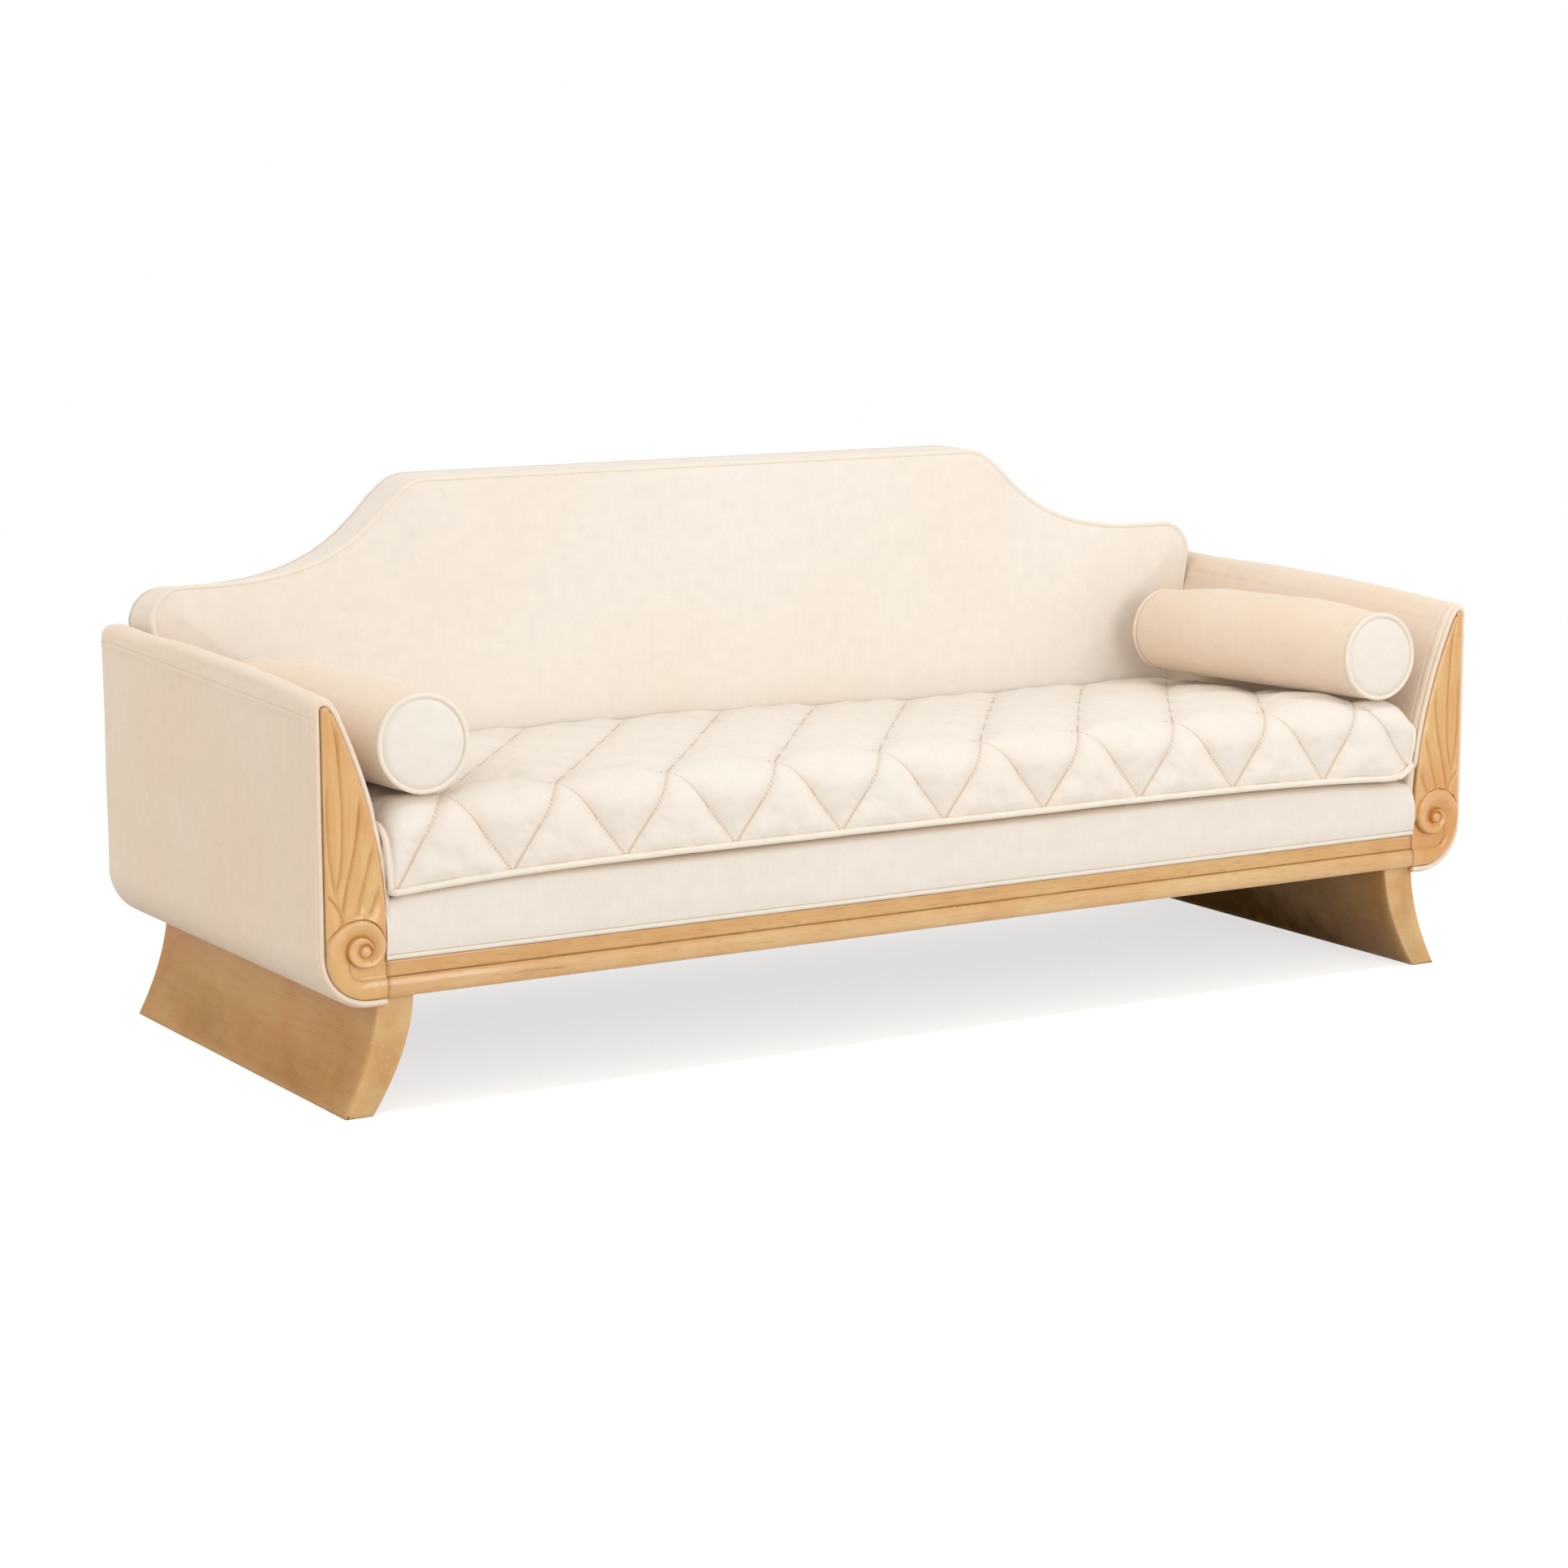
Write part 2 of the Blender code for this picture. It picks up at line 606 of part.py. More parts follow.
def build_facing(name, side, wood, parent):
    facing = prism_xz(f"arm_facing_{name}", mirrored(arm_closed_outline(0.0), side), 0.0, FACING_THICKNESS,
                      wood, parent)
    for k, flute in enumerate(FLUTES):
        combine(facing, loft(f"flute_{name}_{k}", flute_rings(side, *flute), wood, parent), "DIFFERENCE")
    combine(facing, loft(f"scroll_{name}", scroll_rings(side), wood, parent), "UNION")
    combine(facing, loft(f"scroll_eye_{name}", eye_rings(side), wood, parent), "UNION")


def arm_swell(y):
    """Share of the padding's swell along the arm: none at the facing or beside the back."""
    share = (y - BOARD_FRONT) / (back_reach() - BOARD_FRONT)
    return math.sin(math.pi * share) if 0.0 < share < 1.0 else 0.0


def arm_cover_ring(side, y, inner_grow):
    foot_x = trestle_x(LEG_HEIGHT - COVER_PROUD, False) + 3 * GAP
    stop_z = spring_seat_z(RAIL_REBATE) + 2 * GAP
    rise = arm_rise(y)
    outer = arm_outline(COVER_PROUD, foot_x, rise)
    inner = arm_outline(inner_grow, foot_x, rise)
    swollen = arm_outline(COVER_PROUD + ARM_SWELL * arm_swell(y), foot_x, rise)
    padded = []
    for plain, full in zip(outer, swollen):
        above = plain[1] - LEG_HEIGHT - ARM_SWELL_START
        padded.append(full if above > 0.0 and plain[0] < WOOD_OUT else plain)
    padded[-1] = (padded[-1][0], stop_z)
    inner[-1] = (inner[-1][0], stop_z)
    return [(side * x, y, z) for x, z in padded + inner[::-1]]


def build_arms(wood, fabric, welt, parent):
    cover_front = 2 * WELT_RADIUS + 2 * GAP
    reach = back_reach()
    thin = GAP - BOARD_INSET
    stations = [(cover_front, GAP), (BOARD_FRONT, GAP)]
    stations += [(BOARD_FRONT + (reach - BOARD_FRONT) * share, thin) for share in ARM_STATIONS]
    stations.append((FRAME_REAR, thin))
    top_z = TIP_Z - ARM_TOP_RAIL_DROP
    low_z = top_z - ARM_TOP_RAIL_HEIGHT
    board_out = WOOD_OUT - BOARD_INSET
    top_rail = [(board_out, low_z), (board_out, top_z)]
    top_rail += [(inner_edge(z)[0] + 2 * BOARD_INSET, z) for z in (top_z, low_z)]
    rear_board_front = FRAME_REAR - ARM_BOARD_THICKNESS
    board = arm_closed_outline(-BOARD_INSET)
    rear_board = arm_closed_outline(-BOARD_INSET, arm_rise(rear_board_front))
    rear_panel = arm_closed_outline(COVER_PROUD, ARM_REAR_RISE)
    welt_y = GAP + WELT_RADIUS
    for name, side in sides():
        build_facing(name, side, wood, parent)
        prism_xz(f"arm_front_board_{name}", mirrored(board, side), BOARD_FRONT, BOARD_BACK, wood, parent)
        prism_xz(f"arm_rear_board_{name}", mirrored(rear_board, side), rear_board_front, FRAME_REAR,
                 wood, parent)
        prism_xz(f"arm_top_rail_{name}", mirrored(top_rail, side), BOARD_BACK + GAP, rear_board_front - GAP,
                 wood, parent)
        loft(f"arm_cover_{name}", [arm_cover_ring(side, y, grow) for y, grow in stations], fabric, parent)
        path = arm_outline(WELT_RADIUS + GAP, WOOD_IN + GAP)
        path.append((path[-1][0], RAIL_SHOW_TOP + 2 * GAP))
        tube(f"arm_welt_{name}", [(side * x, welt_y, z) for x, z in path], WELT_RADIUS, welt, parent)
        prism_xz(f"arm_rear_panel_{name}", mirrored(rear_panel, side), FRAME_REAR + GAP, REAR_Y,
                 fabric, parent)


def build_back_cover(fabric, parent):
    outline = rear_outline(back_bottom())
    ledge = back_ledge()
    seat = WELT_RADIUS + GAP
    rings = [[(x, FRAME_REAR, z) for x, z in outline],
             [(x, back_welt_y(z) + seat, z) for x, z in face_outline()],
             [(x, back_welt_y(z) + seat, z) for x, z in ledge],
             [(x, back_welt_y(z) - WELT_RADIUS / 2, z) for x, z in ledge]]
    cover = loft("back_cover", rings + back_crown_rings(), fabric, parent)
    pocket = [(x, z - COVER - FACING_THICKNESS if k in (0, len(outline) - 1) else z)
              for k, (x, z) in enumerate(inset(outline, COVER))]
    pocket_front = FRAME_FRONT - WEB_THICKNESS - 3 * GAP
    combine(cover, prism_xz("back_pocket", pocket, pocket_front, REAR_Y, fabric, parent), "DIFFERENCE")


def build_back_welt(welt, parent):
    path = inset(face_outline(), WELT_RADIUS + GAP - BACK_WELT_PROUD)
    tube("back_welt", [(x, back_welt_y(z), z) for x, z in path], WELT_RADIUS, welt, parent)


def lattice(name, columns, rows, y_low, y_high, finish, parent):
    """Woven straps in one sheet: every second column and row of the grid is a gap."""
    bm = bmesh.new()
    grid = [[[bm.verts.new((x, y, z)) for z in rows] for x in columns] for y in (y_low, y_high)]
    wide, tall = len(columns) - 1, len(rows) - 1

    def solid(i, j):
        return 0 <= i < wide and 0 <= j < tall and not (i % 2 and j % 2)

    for i in range(wide):
        for j in range(tall):
            if not solid(i, j):
                continue
            for layer in grid:
                bm.faces.new((layer[i][j], layer[i + 1][j], layer[i + 1][j + 1], layer[i][j + 1]))
            edges = (((i - 1, j), (i, j), (i, j + 1)), ((i + 1, j), (i + 1, j), (i + 1, j + 1)),
                     ((i, j - 1), (i, j), (i + 1, j)), ((i, j + 1), (i, j + 1), (i + 1, j + 1)))
            for beyond, (ai, aj), (bi, bj) in edges:
                if not solid(*beyond):
                    bm.faces.new((grid[0][ai][aj], grid[0][bi][bj], grid[1][bi][bj], grid[1][ai][aj]))
    return mesh_piece(name, bm, finish, parent)


def strap_edges(low, high, count):
    """Both edges of each strap, spread evenly between two limits."""
    pitch = (high - low - WEB_WIDTH) / (count - 1)
    return [low + k * pitch + edge for k in range(count) for edge in (0.0, WEB_WIDTH)]


def build_back_frame(wood, webbing, parent):
    pocket = inset(rear_outline(back_bottom()), COVER + GAP)
    upper = [(x, z) for x, z in pocket if z > REAR_SHOULDER - COVER - 2 * GAP]
    lower = [(x, z - TOP_RAIL_HEIGHT) for x, z in upper]
    prism_xz("back_top_rail", upper + lower[::-1], FRAME_FRONT, FRAME_REAR, wood, parent)
    foot_z = spring_seat_z(FRAME_FRONT) + GAP
    rail_low = REAR_SHOULDER - COVER - TOP_RAIL_HEIGHT - 2 * GAP
    post_out = back_side_x(back_bottom(), REAR_SHOULDER) - COVER - GAP
    middle_top = BACK_HEIGHT - COVER - TOP_RAIL_HEIGHT - 2 * GAP
    depth = (FRAME_FRONT, FRAME_REAR)
    for name, side in sides():
        outer = (side * (post_out - POST_WIDTH), side * post_out)
        block(f"back_post_{name}", outer, depth, (foot_z, rail_low), wood, parent)
        middle = (side * (MIDDLE_POST_X - POST_WIDTH / 2), side * (MIDDLE_POST_X + POST_WIDTH / 2))
        block(f"back_middle_post_{name}", middle, depth, (foot_z, middle_top), wood, parent)
    columns = strap_edges(-post_out + GAP, post_out - GAP, WEB_UPRIGHTS)
    rows = strap_edges(back_bottom() + WEB_MARGIN, REAR_SHOULDER - COVER - WEB_MARGIN, WEB_CROSSINGS)
    web_y = FRAME_FRONT - GAP
    lattice("back_webbing", columns, rows, web_y - WEB_THICKNESS, web_y, webbing, parent)


def build_outside_back(fabric, parent):
    prism_xz("outside_back", rear_outline(LEG_HEIGHT - COVER_PROUD), FRAME_REAR + GAP, REAR_Y, fabric, parent)


def cushion_depth():
    """Front to back, so that the tilted cushion just clears the back's face."""
    tallest = CUSHION_EDGE + CUSHION_CROWN
    reach = back_reach() - CUSHION_CLEARANCE + CUSHION_OVERHANG - tallest * math.sin(SEAT_SLOPE)
    return reach / math.cos(SEAT_SLOPE)


def cushion_half():
    return SEAT_HALF - 2 * WELT_RADIUS - GAP


def cushion_end_x(y):
    """The end boxing draws in between its corners."""
    share = min(1.0, max(0.0, y / cushion_depth()))
    return cushion_half() - CUSHION_DRAW_IN * math.sin(math.pi * share)


def cushion_profile(share, height):
    """Point and outward normal on the section from the front seam, over the front edge, to the rear."""
    top = CUSHION_EDGE + CUSHION_CROWN
    rise = top - CUSHION_FRONT_RADIUS - CUSHION_SEAM
    turn = CUSHION_FRONT_RADIUS * math.pi / 2
    run = cushion_depth() - CUSHION_FRONT_RADIUS
    s = share * (rise + turn + run)
    if s <= rise:
        y, z, normal = 0.0, CUSHION_SEAM + s, (-1.0, 0.0)
    elif s <= rise + turn:
        a = (s - rise) / CUSHION_FRONT_RADIUS
        normal = (-math.cos(a), math.sin(a))
        y = CUSHION_FRONT_RADIUS * (1 + normal[0])
        z = top - CUSHION_FRONT_RADIUS * (1 - normal[1])
    else:
        y, z, normal = CUSHION_FRONT_RADIUS + s - rise - turn, top, (0.0, 1.0)
    z = CUSHION_SEAM + (z - CUSHION_SEAM) * (height - CUSHION_SEAM) / (top - CUSHION_SEAM)
    return y, z, normal


def quilt_puff(i, j, columns, rows):
    """Rise of the quilting between its crossed lines of stitching, flat at the seams."""
    if i in (0, columns) or j in (0, rows):
        return 0.0
    period = 2 * QUILT_STEPS
    rise = QUILT_PUFF
    for line in ((i - j) % period, (i + j) % period):
        away = min(line, period - line) / QUILT_STEPS
        rise *= math.sqrt(1 - (1 - away) ** 2)
    return rise


def cushion_height(x):
    """Stitched thickness, even along the length and rounded down to the end boxings."""
    return CUSHION_EDGE + CUSHION_CROWN * (1 - (x / cushion_half()) ** CUSHION_CROWN_POWER)


def cushion_grid():
    columns, rows = 2 * QUILT_STEPS * QUILT_WIDE, 2 * QUILT_STEPS * QUILT_DEEP
    grid = []
    for i in range(columns + 1):
        flat_x = cushion_half() * (2 * i / columns - 1)
        line = []
        for j in range(rows + 1):
            y, z, normal = cushion_profile(j / rows, cushion_height(flat_x))
            puff = quilt_puff(i, j, columns, rows)
            x = flat_x * cushion_end_x(y) / cushion_half()
            line.append((x, y + normal[0] * puff - CUSHION_OVERHANG, z + normal[1] * puff + GAP))
        grid.append(line)
    return grid


def build_cushion(fabric, parent):
    bm = bmesh.new()
    grid = [[bm.verts.new(point) for point in line] for line in cushion_grid()]
    columns, rows = len(grid) - 1, len(grid[0]) - 1
    for i in range(columns):
        for j in range(rows):
            a, b, c, d = grid[i][j], grid[i + 1][j], grid[i + 1][j + 1], grid[i][j + 1]
            rising = (i - j) % (2 * QUILT_STEPS) < QUILT_STEPS
            leaning = (i + j) % (2 * QUILT_STEPS) < QUILT_STEPS
            if rising == leaning:
                bm.faces.new((a, b, c))
                bm.faces.new((a, c, d))
            else:
                bm.faces.new((a, b, d))
                bm.faces.new((b, c, d))
    feet = []
    for line in (grid[0], grid[-1]):
        foot = [bm.verts.new((v.co.x, v.co.y, GAP)) for v in line[2 * QUILT_STEPS:]]
        foot.insert(0, bm.verts.new((line[0].co.x, line[0].co.y, GAP)))
        bm.faces.new(line[:2 * QUILT_STEPS + 1] + [foot[1], foot[0]])
        for k in range(2 * QUILT_STEPS, rows):
            n = k - 2 * QUILT_STEPS + 1
            bm.faces.new((line[k], line[k + 1], foot[n + 1], foot[n]))
        feet.append(foot)
    bm.faces.new([line[0] for line in grid] + [feet[1][0], feet[0][0]])
    bm.faces.new([line[-1] for line in grid] + [feet[1][-1], feet[0][-1]])
    bm.faces.new(feet[0] + feet[1][::-1])
    return mesh_piece("seat_cushion", bm, fabric, parent)


def build_cushion_welts(welt, parent):
    offset = WELT_RADIUS + GAP
    low_z = GAP + WELT_RADIUS
    depth = cushion_depth()
    loop = []
    for k in range(9):
        y = depth * k / 8
        x = cushion_end_x(y)
        angles = {0: (-90, -60, -30, 0), 8: (0, 30, 60, 90)}.get(k, (0,))
        for angle in map(math.radians, angles):
            turned = y + offset * math.sin(angle)
            loop.append((x + offset * math.cos(angle), turned - CUSHION_OVERHANG, low_z))
    loop += mirrored(loop[::-1], -1)
    tube("cushion_bottom_welt", loop, WELT_RADIUS, welt, parent, closed=True)
    for name, side in sides():
        path = []
        for k in range(21):
            y, z, normal = cushion_profile(k / 20, CUSHION_EDGE)
            if z < 4 * WELT_RADIUS:
                continue
            path.append((side * (cushion_end_x(y) + offset), y - normal[0] * WELT_RADIUS - CUSHION_OVERHANG,
                         z - normal[1] * WELT_RADIUS + GAP))
        tube(f"cushion_end_welt_{name}", path, WELT_RADIUS, welt, parent)


def bolster_x():
    return arm_inner_x(SWEEP_Z) - BOLSTER_INSET


def bolster_length():
    return back_reach() - BOLSTER_BACK_SPACE - BOLSTER_SETBACK


def ring_xz(x, y, z, radius):
    angles = [2 * math.pi * k / BOLSTER_SIDES for k in range(BOLSTER_SIDES)]
    return [(x + radius * math.cos(a), y, z + radius * math.sin(a)) for a in angles]


def mesh_tree(mesh):
    faces = [p.vertices for p in mesh.polygons]
    return BVHTree.FromPolygons([v.co for v in mesh.vertices], faces, epsilon=GAP / 100)


def band_tree(rings):
    """The side surface through a row of rings."""
    count = len(rings[0])
    faces = []
    for low in range(0, count * (len(rings) - 1), count):
        for n in range(count):
            after = (n + 1) % count
            faces.append((low + n, low + after, low + count + after, low + count + n))
    return BVHTree.FromPolygons([point for ring in rings for point in ring], faces, epsilon=GAP / 100)


def rest_height(cushion, rings):
    """How far rings round a level axis must rise to lie on the quilted cushion."""
    below = mesh_tree(cushion.data)
    above = band_tree(rings)
    x, length = rings[0][0][0] - BOLSTER_RADIUS, rings[-1][0][1] - rings[0][0][1]
    high = 4 * (CUSHION_EDGE + CUSHION_CROWN)
    spots = [(v.co.x, v.co.y) for v in cushion.data.vertices]
    spots += [(x + BOLSTER_RADIUS * a / REST_STEPS, rings[0][0][1] + length * b / REST_STEPS)
              for a in range(-REST_STEPS, REST_STEPS + 1) for b in range(REST_STEPS + 1)]
    lift = 0.0
    for px, py in spots:
        under = above.ray_cast(Vector((px, py, -high)), Vector((0, 0, 1)))[0]
        top = below.ray_cast(Vector((px, py, high)), Vector((0, 0, -1)))[0]
        if under and top:
            lift = max(lift, top.z - under.z)
    return lift + GAP


def there_and_back(half, length):
    """A whole bolster profile from its front half, which ends at the middle."""
    return half + [(length - y, radius) for y, radius in half[-2::-1]]


def build_bolsters(cushion, fabric, welt, parent):
    length = bolster_length()
    welt_radius = BOLSTER_RADIUS - BOLSTER_WELT_RADIUS
    boss = welt_radius - BOLSTER_WELT_RADIUS - 2 * GAP
    ledge = 2 * BOLSTER_WELT_RADIUS + 2 * GAP
    body = [(ledge, BOLSTER_RADIUS - BOLSTER_TAPER), (0.2 * length, BOLSTER_RADIUS - 0.2 * BOLSTER_TAPER)]
    body.append((0.5 * length, BOLSTER_RADIUS))
    cap = [(-lift * BOLSTER_CAP_CROWN, size * boss) for lift, size in BOLSTER_CAP_SHAPE] + [(ledge, boss)]
    profile = there_and_back(cap + body, length)
    resting = there_and_back([(0.0, BOLSTER_RADIUS), (ledge, BOLSTER_RADIUS)] + body, length)
    for name, side in sides():
        x = side * bolster_x()
        z = rest_height(cushion, [ring_xz(x, BOLSTER_SETBACK + y, 0.0, r) for y, r in resting])
        rings = [ring_xz(x, BOLSTER_SETBACK + y, z, r) for y, r in profile]
        loft(f"bolster_{name}", rings, fabric, parent)
        for spot, y in (("front", ledge / 2), ("rear", length - ledge / 2)):
            path = ring_xz(x, BOLSTER_SETBACK + y, z, welt_radius)
            tube(f"bolster_welt_{spot}_{name}", path, BOLSTER_WELT_RADIUS, welt, parent, closed=True)


def main():
    clear_scene()
    wood = material("bleached_maple", (0.62, 0.40, 0.17), 0.45)
    hidden_wood = material("frame_wood", (0.55, 0.38, 0.20), 0.70)
    fabric = material("cream_velvet", (0.86, 0.76, 0.64), 0.90)
    welt = material("cream_welt", (0.88, 0.79, 0.68), 0.90)
    webbing = material("jute_webbing", (0.42, 0.33, 0.20), 0.95)
    lining = material("black_lining", (0.03, 0.03, 0.03), 0.95)
    steel = material("spring_steel", (0.45, 0.45, 0.46), 0.40, 1.0)
    sofa = bpy.data.objects.new("sofa", None)
    sofa.location = (0.0, -(FRONT_Y + REAR_Y) / 2, 0.0)
    bpy.context.collection.objects.link(sofa)
    seat = bpy.data.objects.new("seat_plane", None)
    seat.parent = sofa
    seat.location = (0.0, 0.0, DECK_HEIGHT)
    seat.rotation_euler = (-SEAT_SLOPE, 0.0, 0.0)
    bpy.context.collection.objects.link(seat)
    build_trestles(wood, steel, sofa)
    build_seat_frame(wood, sofa)
    build_springs(steel, sofa)
    build_deck(fabric, welt, lining, sofa)
    build_arms(wood, fabric, welt, sofa)
    build_back_frame(hidden_wood, webbing, sofa)
    build_back_cover(fabric, sofa)
    build_back_welt(welt, sofa)
    build_outside_back(fabric, sofa)
    cushion = build_cushion(fabric, seat)
    build_cushion_welts(welt, seat)
    build_bolsters(cushion, fabric, welt, seat)


main()
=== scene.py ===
"""Upholstered sofa: carved facings, velvet covers, a quilted bench cushion and two bolsters.

Metres, +Z up, the front towards -Y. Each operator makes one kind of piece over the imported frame,
and main() calls them in order. "Depth" is measured back from the flat face of the wood facings.
"""
import math

import bmesh
import bpy
import numpy as np
from mathutils import Matrix, Vector

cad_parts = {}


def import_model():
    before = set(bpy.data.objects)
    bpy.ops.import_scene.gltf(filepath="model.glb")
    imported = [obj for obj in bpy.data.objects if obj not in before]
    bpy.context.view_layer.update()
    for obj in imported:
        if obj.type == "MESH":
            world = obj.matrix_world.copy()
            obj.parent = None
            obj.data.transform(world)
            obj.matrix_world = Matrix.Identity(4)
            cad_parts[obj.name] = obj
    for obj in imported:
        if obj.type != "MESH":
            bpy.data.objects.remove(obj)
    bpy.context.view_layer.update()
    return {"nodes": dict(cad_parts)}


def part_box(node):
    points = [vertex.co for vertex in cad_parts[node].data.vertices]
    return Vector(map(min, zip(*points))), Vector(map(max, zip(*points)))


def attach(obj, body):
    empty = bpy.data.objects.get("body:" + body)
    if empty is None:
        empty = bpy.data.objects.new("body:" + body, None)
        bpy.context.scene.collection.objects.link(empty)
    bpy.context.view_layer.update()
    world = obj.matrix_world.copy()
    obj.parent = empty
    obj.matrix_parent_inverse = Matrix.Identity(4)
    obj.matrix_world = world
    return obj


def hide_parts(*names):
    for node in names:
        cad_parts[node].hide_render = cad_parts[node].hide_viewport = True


bl_info = {
    "name": "Upholstered sofa",
    "version": (1, 0, 0),
    "blender": (4, 5, 0),
    "location": "3D View > Sidebar > Sofa",
    "description": "Dresses the sofa's frame with carved wood, velvet covers and loose cushions",
    "category": "Object",
}

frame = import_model()

# Height of the carving, room between pieces that touch, and how much longer the padded cushion is at each end
RELIEF = 0.005
GAP = 0.0003
CUSHION_GAIN = 0.005

# Places taken from the frame
FACING_LOW, FACING_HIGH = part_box("arm_facing_right")
FACE_Y = FACING_LOW[1] + RELIEF
WOOD_IN, WOOD_OUT = FACING_LOW[0], FACING_HIGH[0]
LEG_Z, TIP_Z = FACING_LOW[2], FACING_HIGH[2]
FACING_BACK = FACING_HIGH[1] - FACE_Y
REAR_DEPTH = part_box("outside_back")[1][1] - FACE_Y
FRAME_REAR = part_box("back_cover")[1][1] - FACE_Y
FRAME_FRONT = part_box("rear_rail")[0][1] - FACE_Y
BACK_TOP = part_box("back_cover")[1][2]
BACK_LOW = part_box("back_cover")[0][2]
BACK_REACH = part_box("back_cover")[0][1] - FACE_Y
BACK_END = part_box("back_cover")[1][0]
DECK_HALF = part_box("seat_deck")[1][0]
DECK_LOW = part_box("seat_deck")[0][2]
CUSHION_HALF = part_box("seat_cushion")[1][0] + CUSHION_GAIN
TRESTLE_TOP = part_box("trestle_right")[1][2]
TRESTLE_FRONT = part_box("trestle_right")[0][1] - FACE_Y
FOOT_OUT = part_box("trestle_right")[1][0]
TRESTLE_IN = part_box("trestle_right")[0][0]

# Shape of the arms; the rounding at the rear is the cover's own
CORNER = 0.070
FLARE = 0.0835
SWEEP_Z = LEG_Z + 0.092
TIP_ROUND = 0.006
COVER_PROUD = 0.0085
ARM_REAR_RISE = 0.024
ARM_REAR_ROUND = 0.006
ARM_SEAM = 0.0170
ARM_BORDER = 0.0130
ARM_INNER_SEAM = 0.030
ARM_FOOT = 0.0108
# Where each facing's welt ends on the inner side, and the height over which it sinks behind the wood
CORD_ENDS = {"left": (0.392, 0.080), "right": (0.330, 0.030)}
# Each volute's eye, as inset from the outer edge and height over the foot, then its boundary as turns
# in degrees (from the outer side, over the top) and reaches in millimetres
VOLUTES = {
    "left": ((0.0600, 0.0745), (
        (0, 64.0), (15, 63.0), (43, 56.0), (69, 50.0), (96, 46.5), (124, 40.5), (153, 35.5), (178, 33.0),
        (209, 30.7), (234, 27.6), (274, 24.7), (319, 26.2), (366, 29.0), (400, 28.0), (435, 23.0),
        (480, 16.0), (546, 11.2), (600, 10.0))),
    "right": ((0.0511, 0.0837), (
        (0, 52.0), (27, 51.0), (64, 51.0), (107, 47.5), (144, 46.0), (173, 41.5), (216, 36.3), (249, 30.7),
        (286, 25.8), (320, 22.5), (360, 20.7), (405, 17.0), (450, 13.5), (529, 12.0), (600, 10.0))),
}
VOLUTE_START = math.radians(-114)
EYE = 0.0092
VOLUTE_RELIEF = 0.0078
# Grooves of the plume, foot to tip, then the leaf: how dark each is, then its path as insets from the
# outer edge and heights over the foot
PLUME = (
    (0.35, ((0.0157, 0.1565), (0.0077, 0.2179), (0.0054, 0.2796), (0.0061, 0.3384))),
    (0.80, ((0.0157, 0.1565), (0.0258, 0.2066), (0.0287, 0.2774), (0.0253, 0.3485), (0.0224, 0.3840),
            (0.0150, 0.4174))),
    (0.80, ((0.0257, 0.1281), (0.0338, 0.1701), (0.0480, 0.2281), (0.0550, 0.2749), (0.0560, 0.3020))),
    (0.40, ((0.0483, 0.1304), (0.0608, 0.1721), (0.0691, 0.2022), (0.0762, 0.2301))),
    (0.50, ((0.0688, 0.1282), (0.0768, 0.1441), (0.0838, 0.1649))),
    (0.45, ((0.0018, 0.1627), (0.0142, 0.1483), (0.0228, 0.1331), (0.0250, 0.1210), (0.0223, 0.1153))),
)

# Shape of the front rail and the seat; the scuff is a dark mark on the rail's bead
BEAD_HEIGHT = 0.031
BEAD_DEPTH = 0.006
RAIL_TOP = LEG_Z + 0.055
RAIL_REBATE = 0.020
RAIL_BACK = 0.045
SCUFF_X = -0.710
SCUFF_HEIGHT = 0.0150
DECK_Z = 0.3295
DECK_EAR = 0.0088
DECK_FACE = 0.003
DECK_NOSE = 0.017
DECK_PUFF = 0.0038
DECK_BOARD = 0.020
DECK_GAP = 0.0040
DECK_END_FALL = 0.006
SEAT_SLOPE = math.radians(2.2)
SEAT_FALL = math.tan(SEAT_SLOPE)
SPRING_SPACE = 0.0246
SPRING_Z = DECK_Z - RAIL_REBATE * SEAT_FALL - SPRING_SPACE
LINING_SAG = 0.006

# Shape of the trestles
TRESTLE_SET = 0.010
TRESTLE_BEND = 1.8
FOOT_THICK = 0.046
FOOT_EASE = 0.0025

# Shape of the back
BACK_LEAN = math.radians(2.0)
BACK_CROWN = 0.032
BACK_SWELL = 0.027
BACK_ROLL = 0.005
BACK_SOFT = 0.21
BACK_SHOULDER = 0.7095
BACK_THICKNESS = 0.0945
BACK_CORNER = 0.055
SHOULDER_FALL = 0.010
TOP_RISE = 0.004
SWEEP_END = BACK_END - 0.107
TOP_HALF = BACK_END - 0.494
SWEEP_LOW = 0.300
SWEEP_HIGH = 0.095
BACK_TO_ARM = 0.0046
BACK_TAPER = 0.18

# Shape of the loose cushions
CUSHION_EDGE = 0.108
CUSHION_CROWN = 0.028
CUSHION_SEAM = 0.005
CUSHION_NOSE = 0.045
CUSHION_DRAW = 0.004
CUSHION_OVERHANG = 0.003
CUSHION_LIFT = 0.0155
CUSHION_BULGE = 0.0125
CUSHION_SPREAD = 0.006
CUSHION_SAG = 0.013
CUSHION_ROUND = 0.006
CORNER_LIFT = 0.022
LIFT_REACH = 0.09
QUILT_WIDE = 10
QUILT_FRONT = 0.150
QUILT_PITCH = 0.1305
BOLSTER_RADIUS = 0.0745
BOLSTER_X = 0.896
BOLSTER_FRONT = 0.005
BOLSTER_REAR_SPACE = 0.080
BOLSTER_WELT = 0.0040
BOLSTER_FULL = 0.0055
BOLSTER_TILT = 0.0055

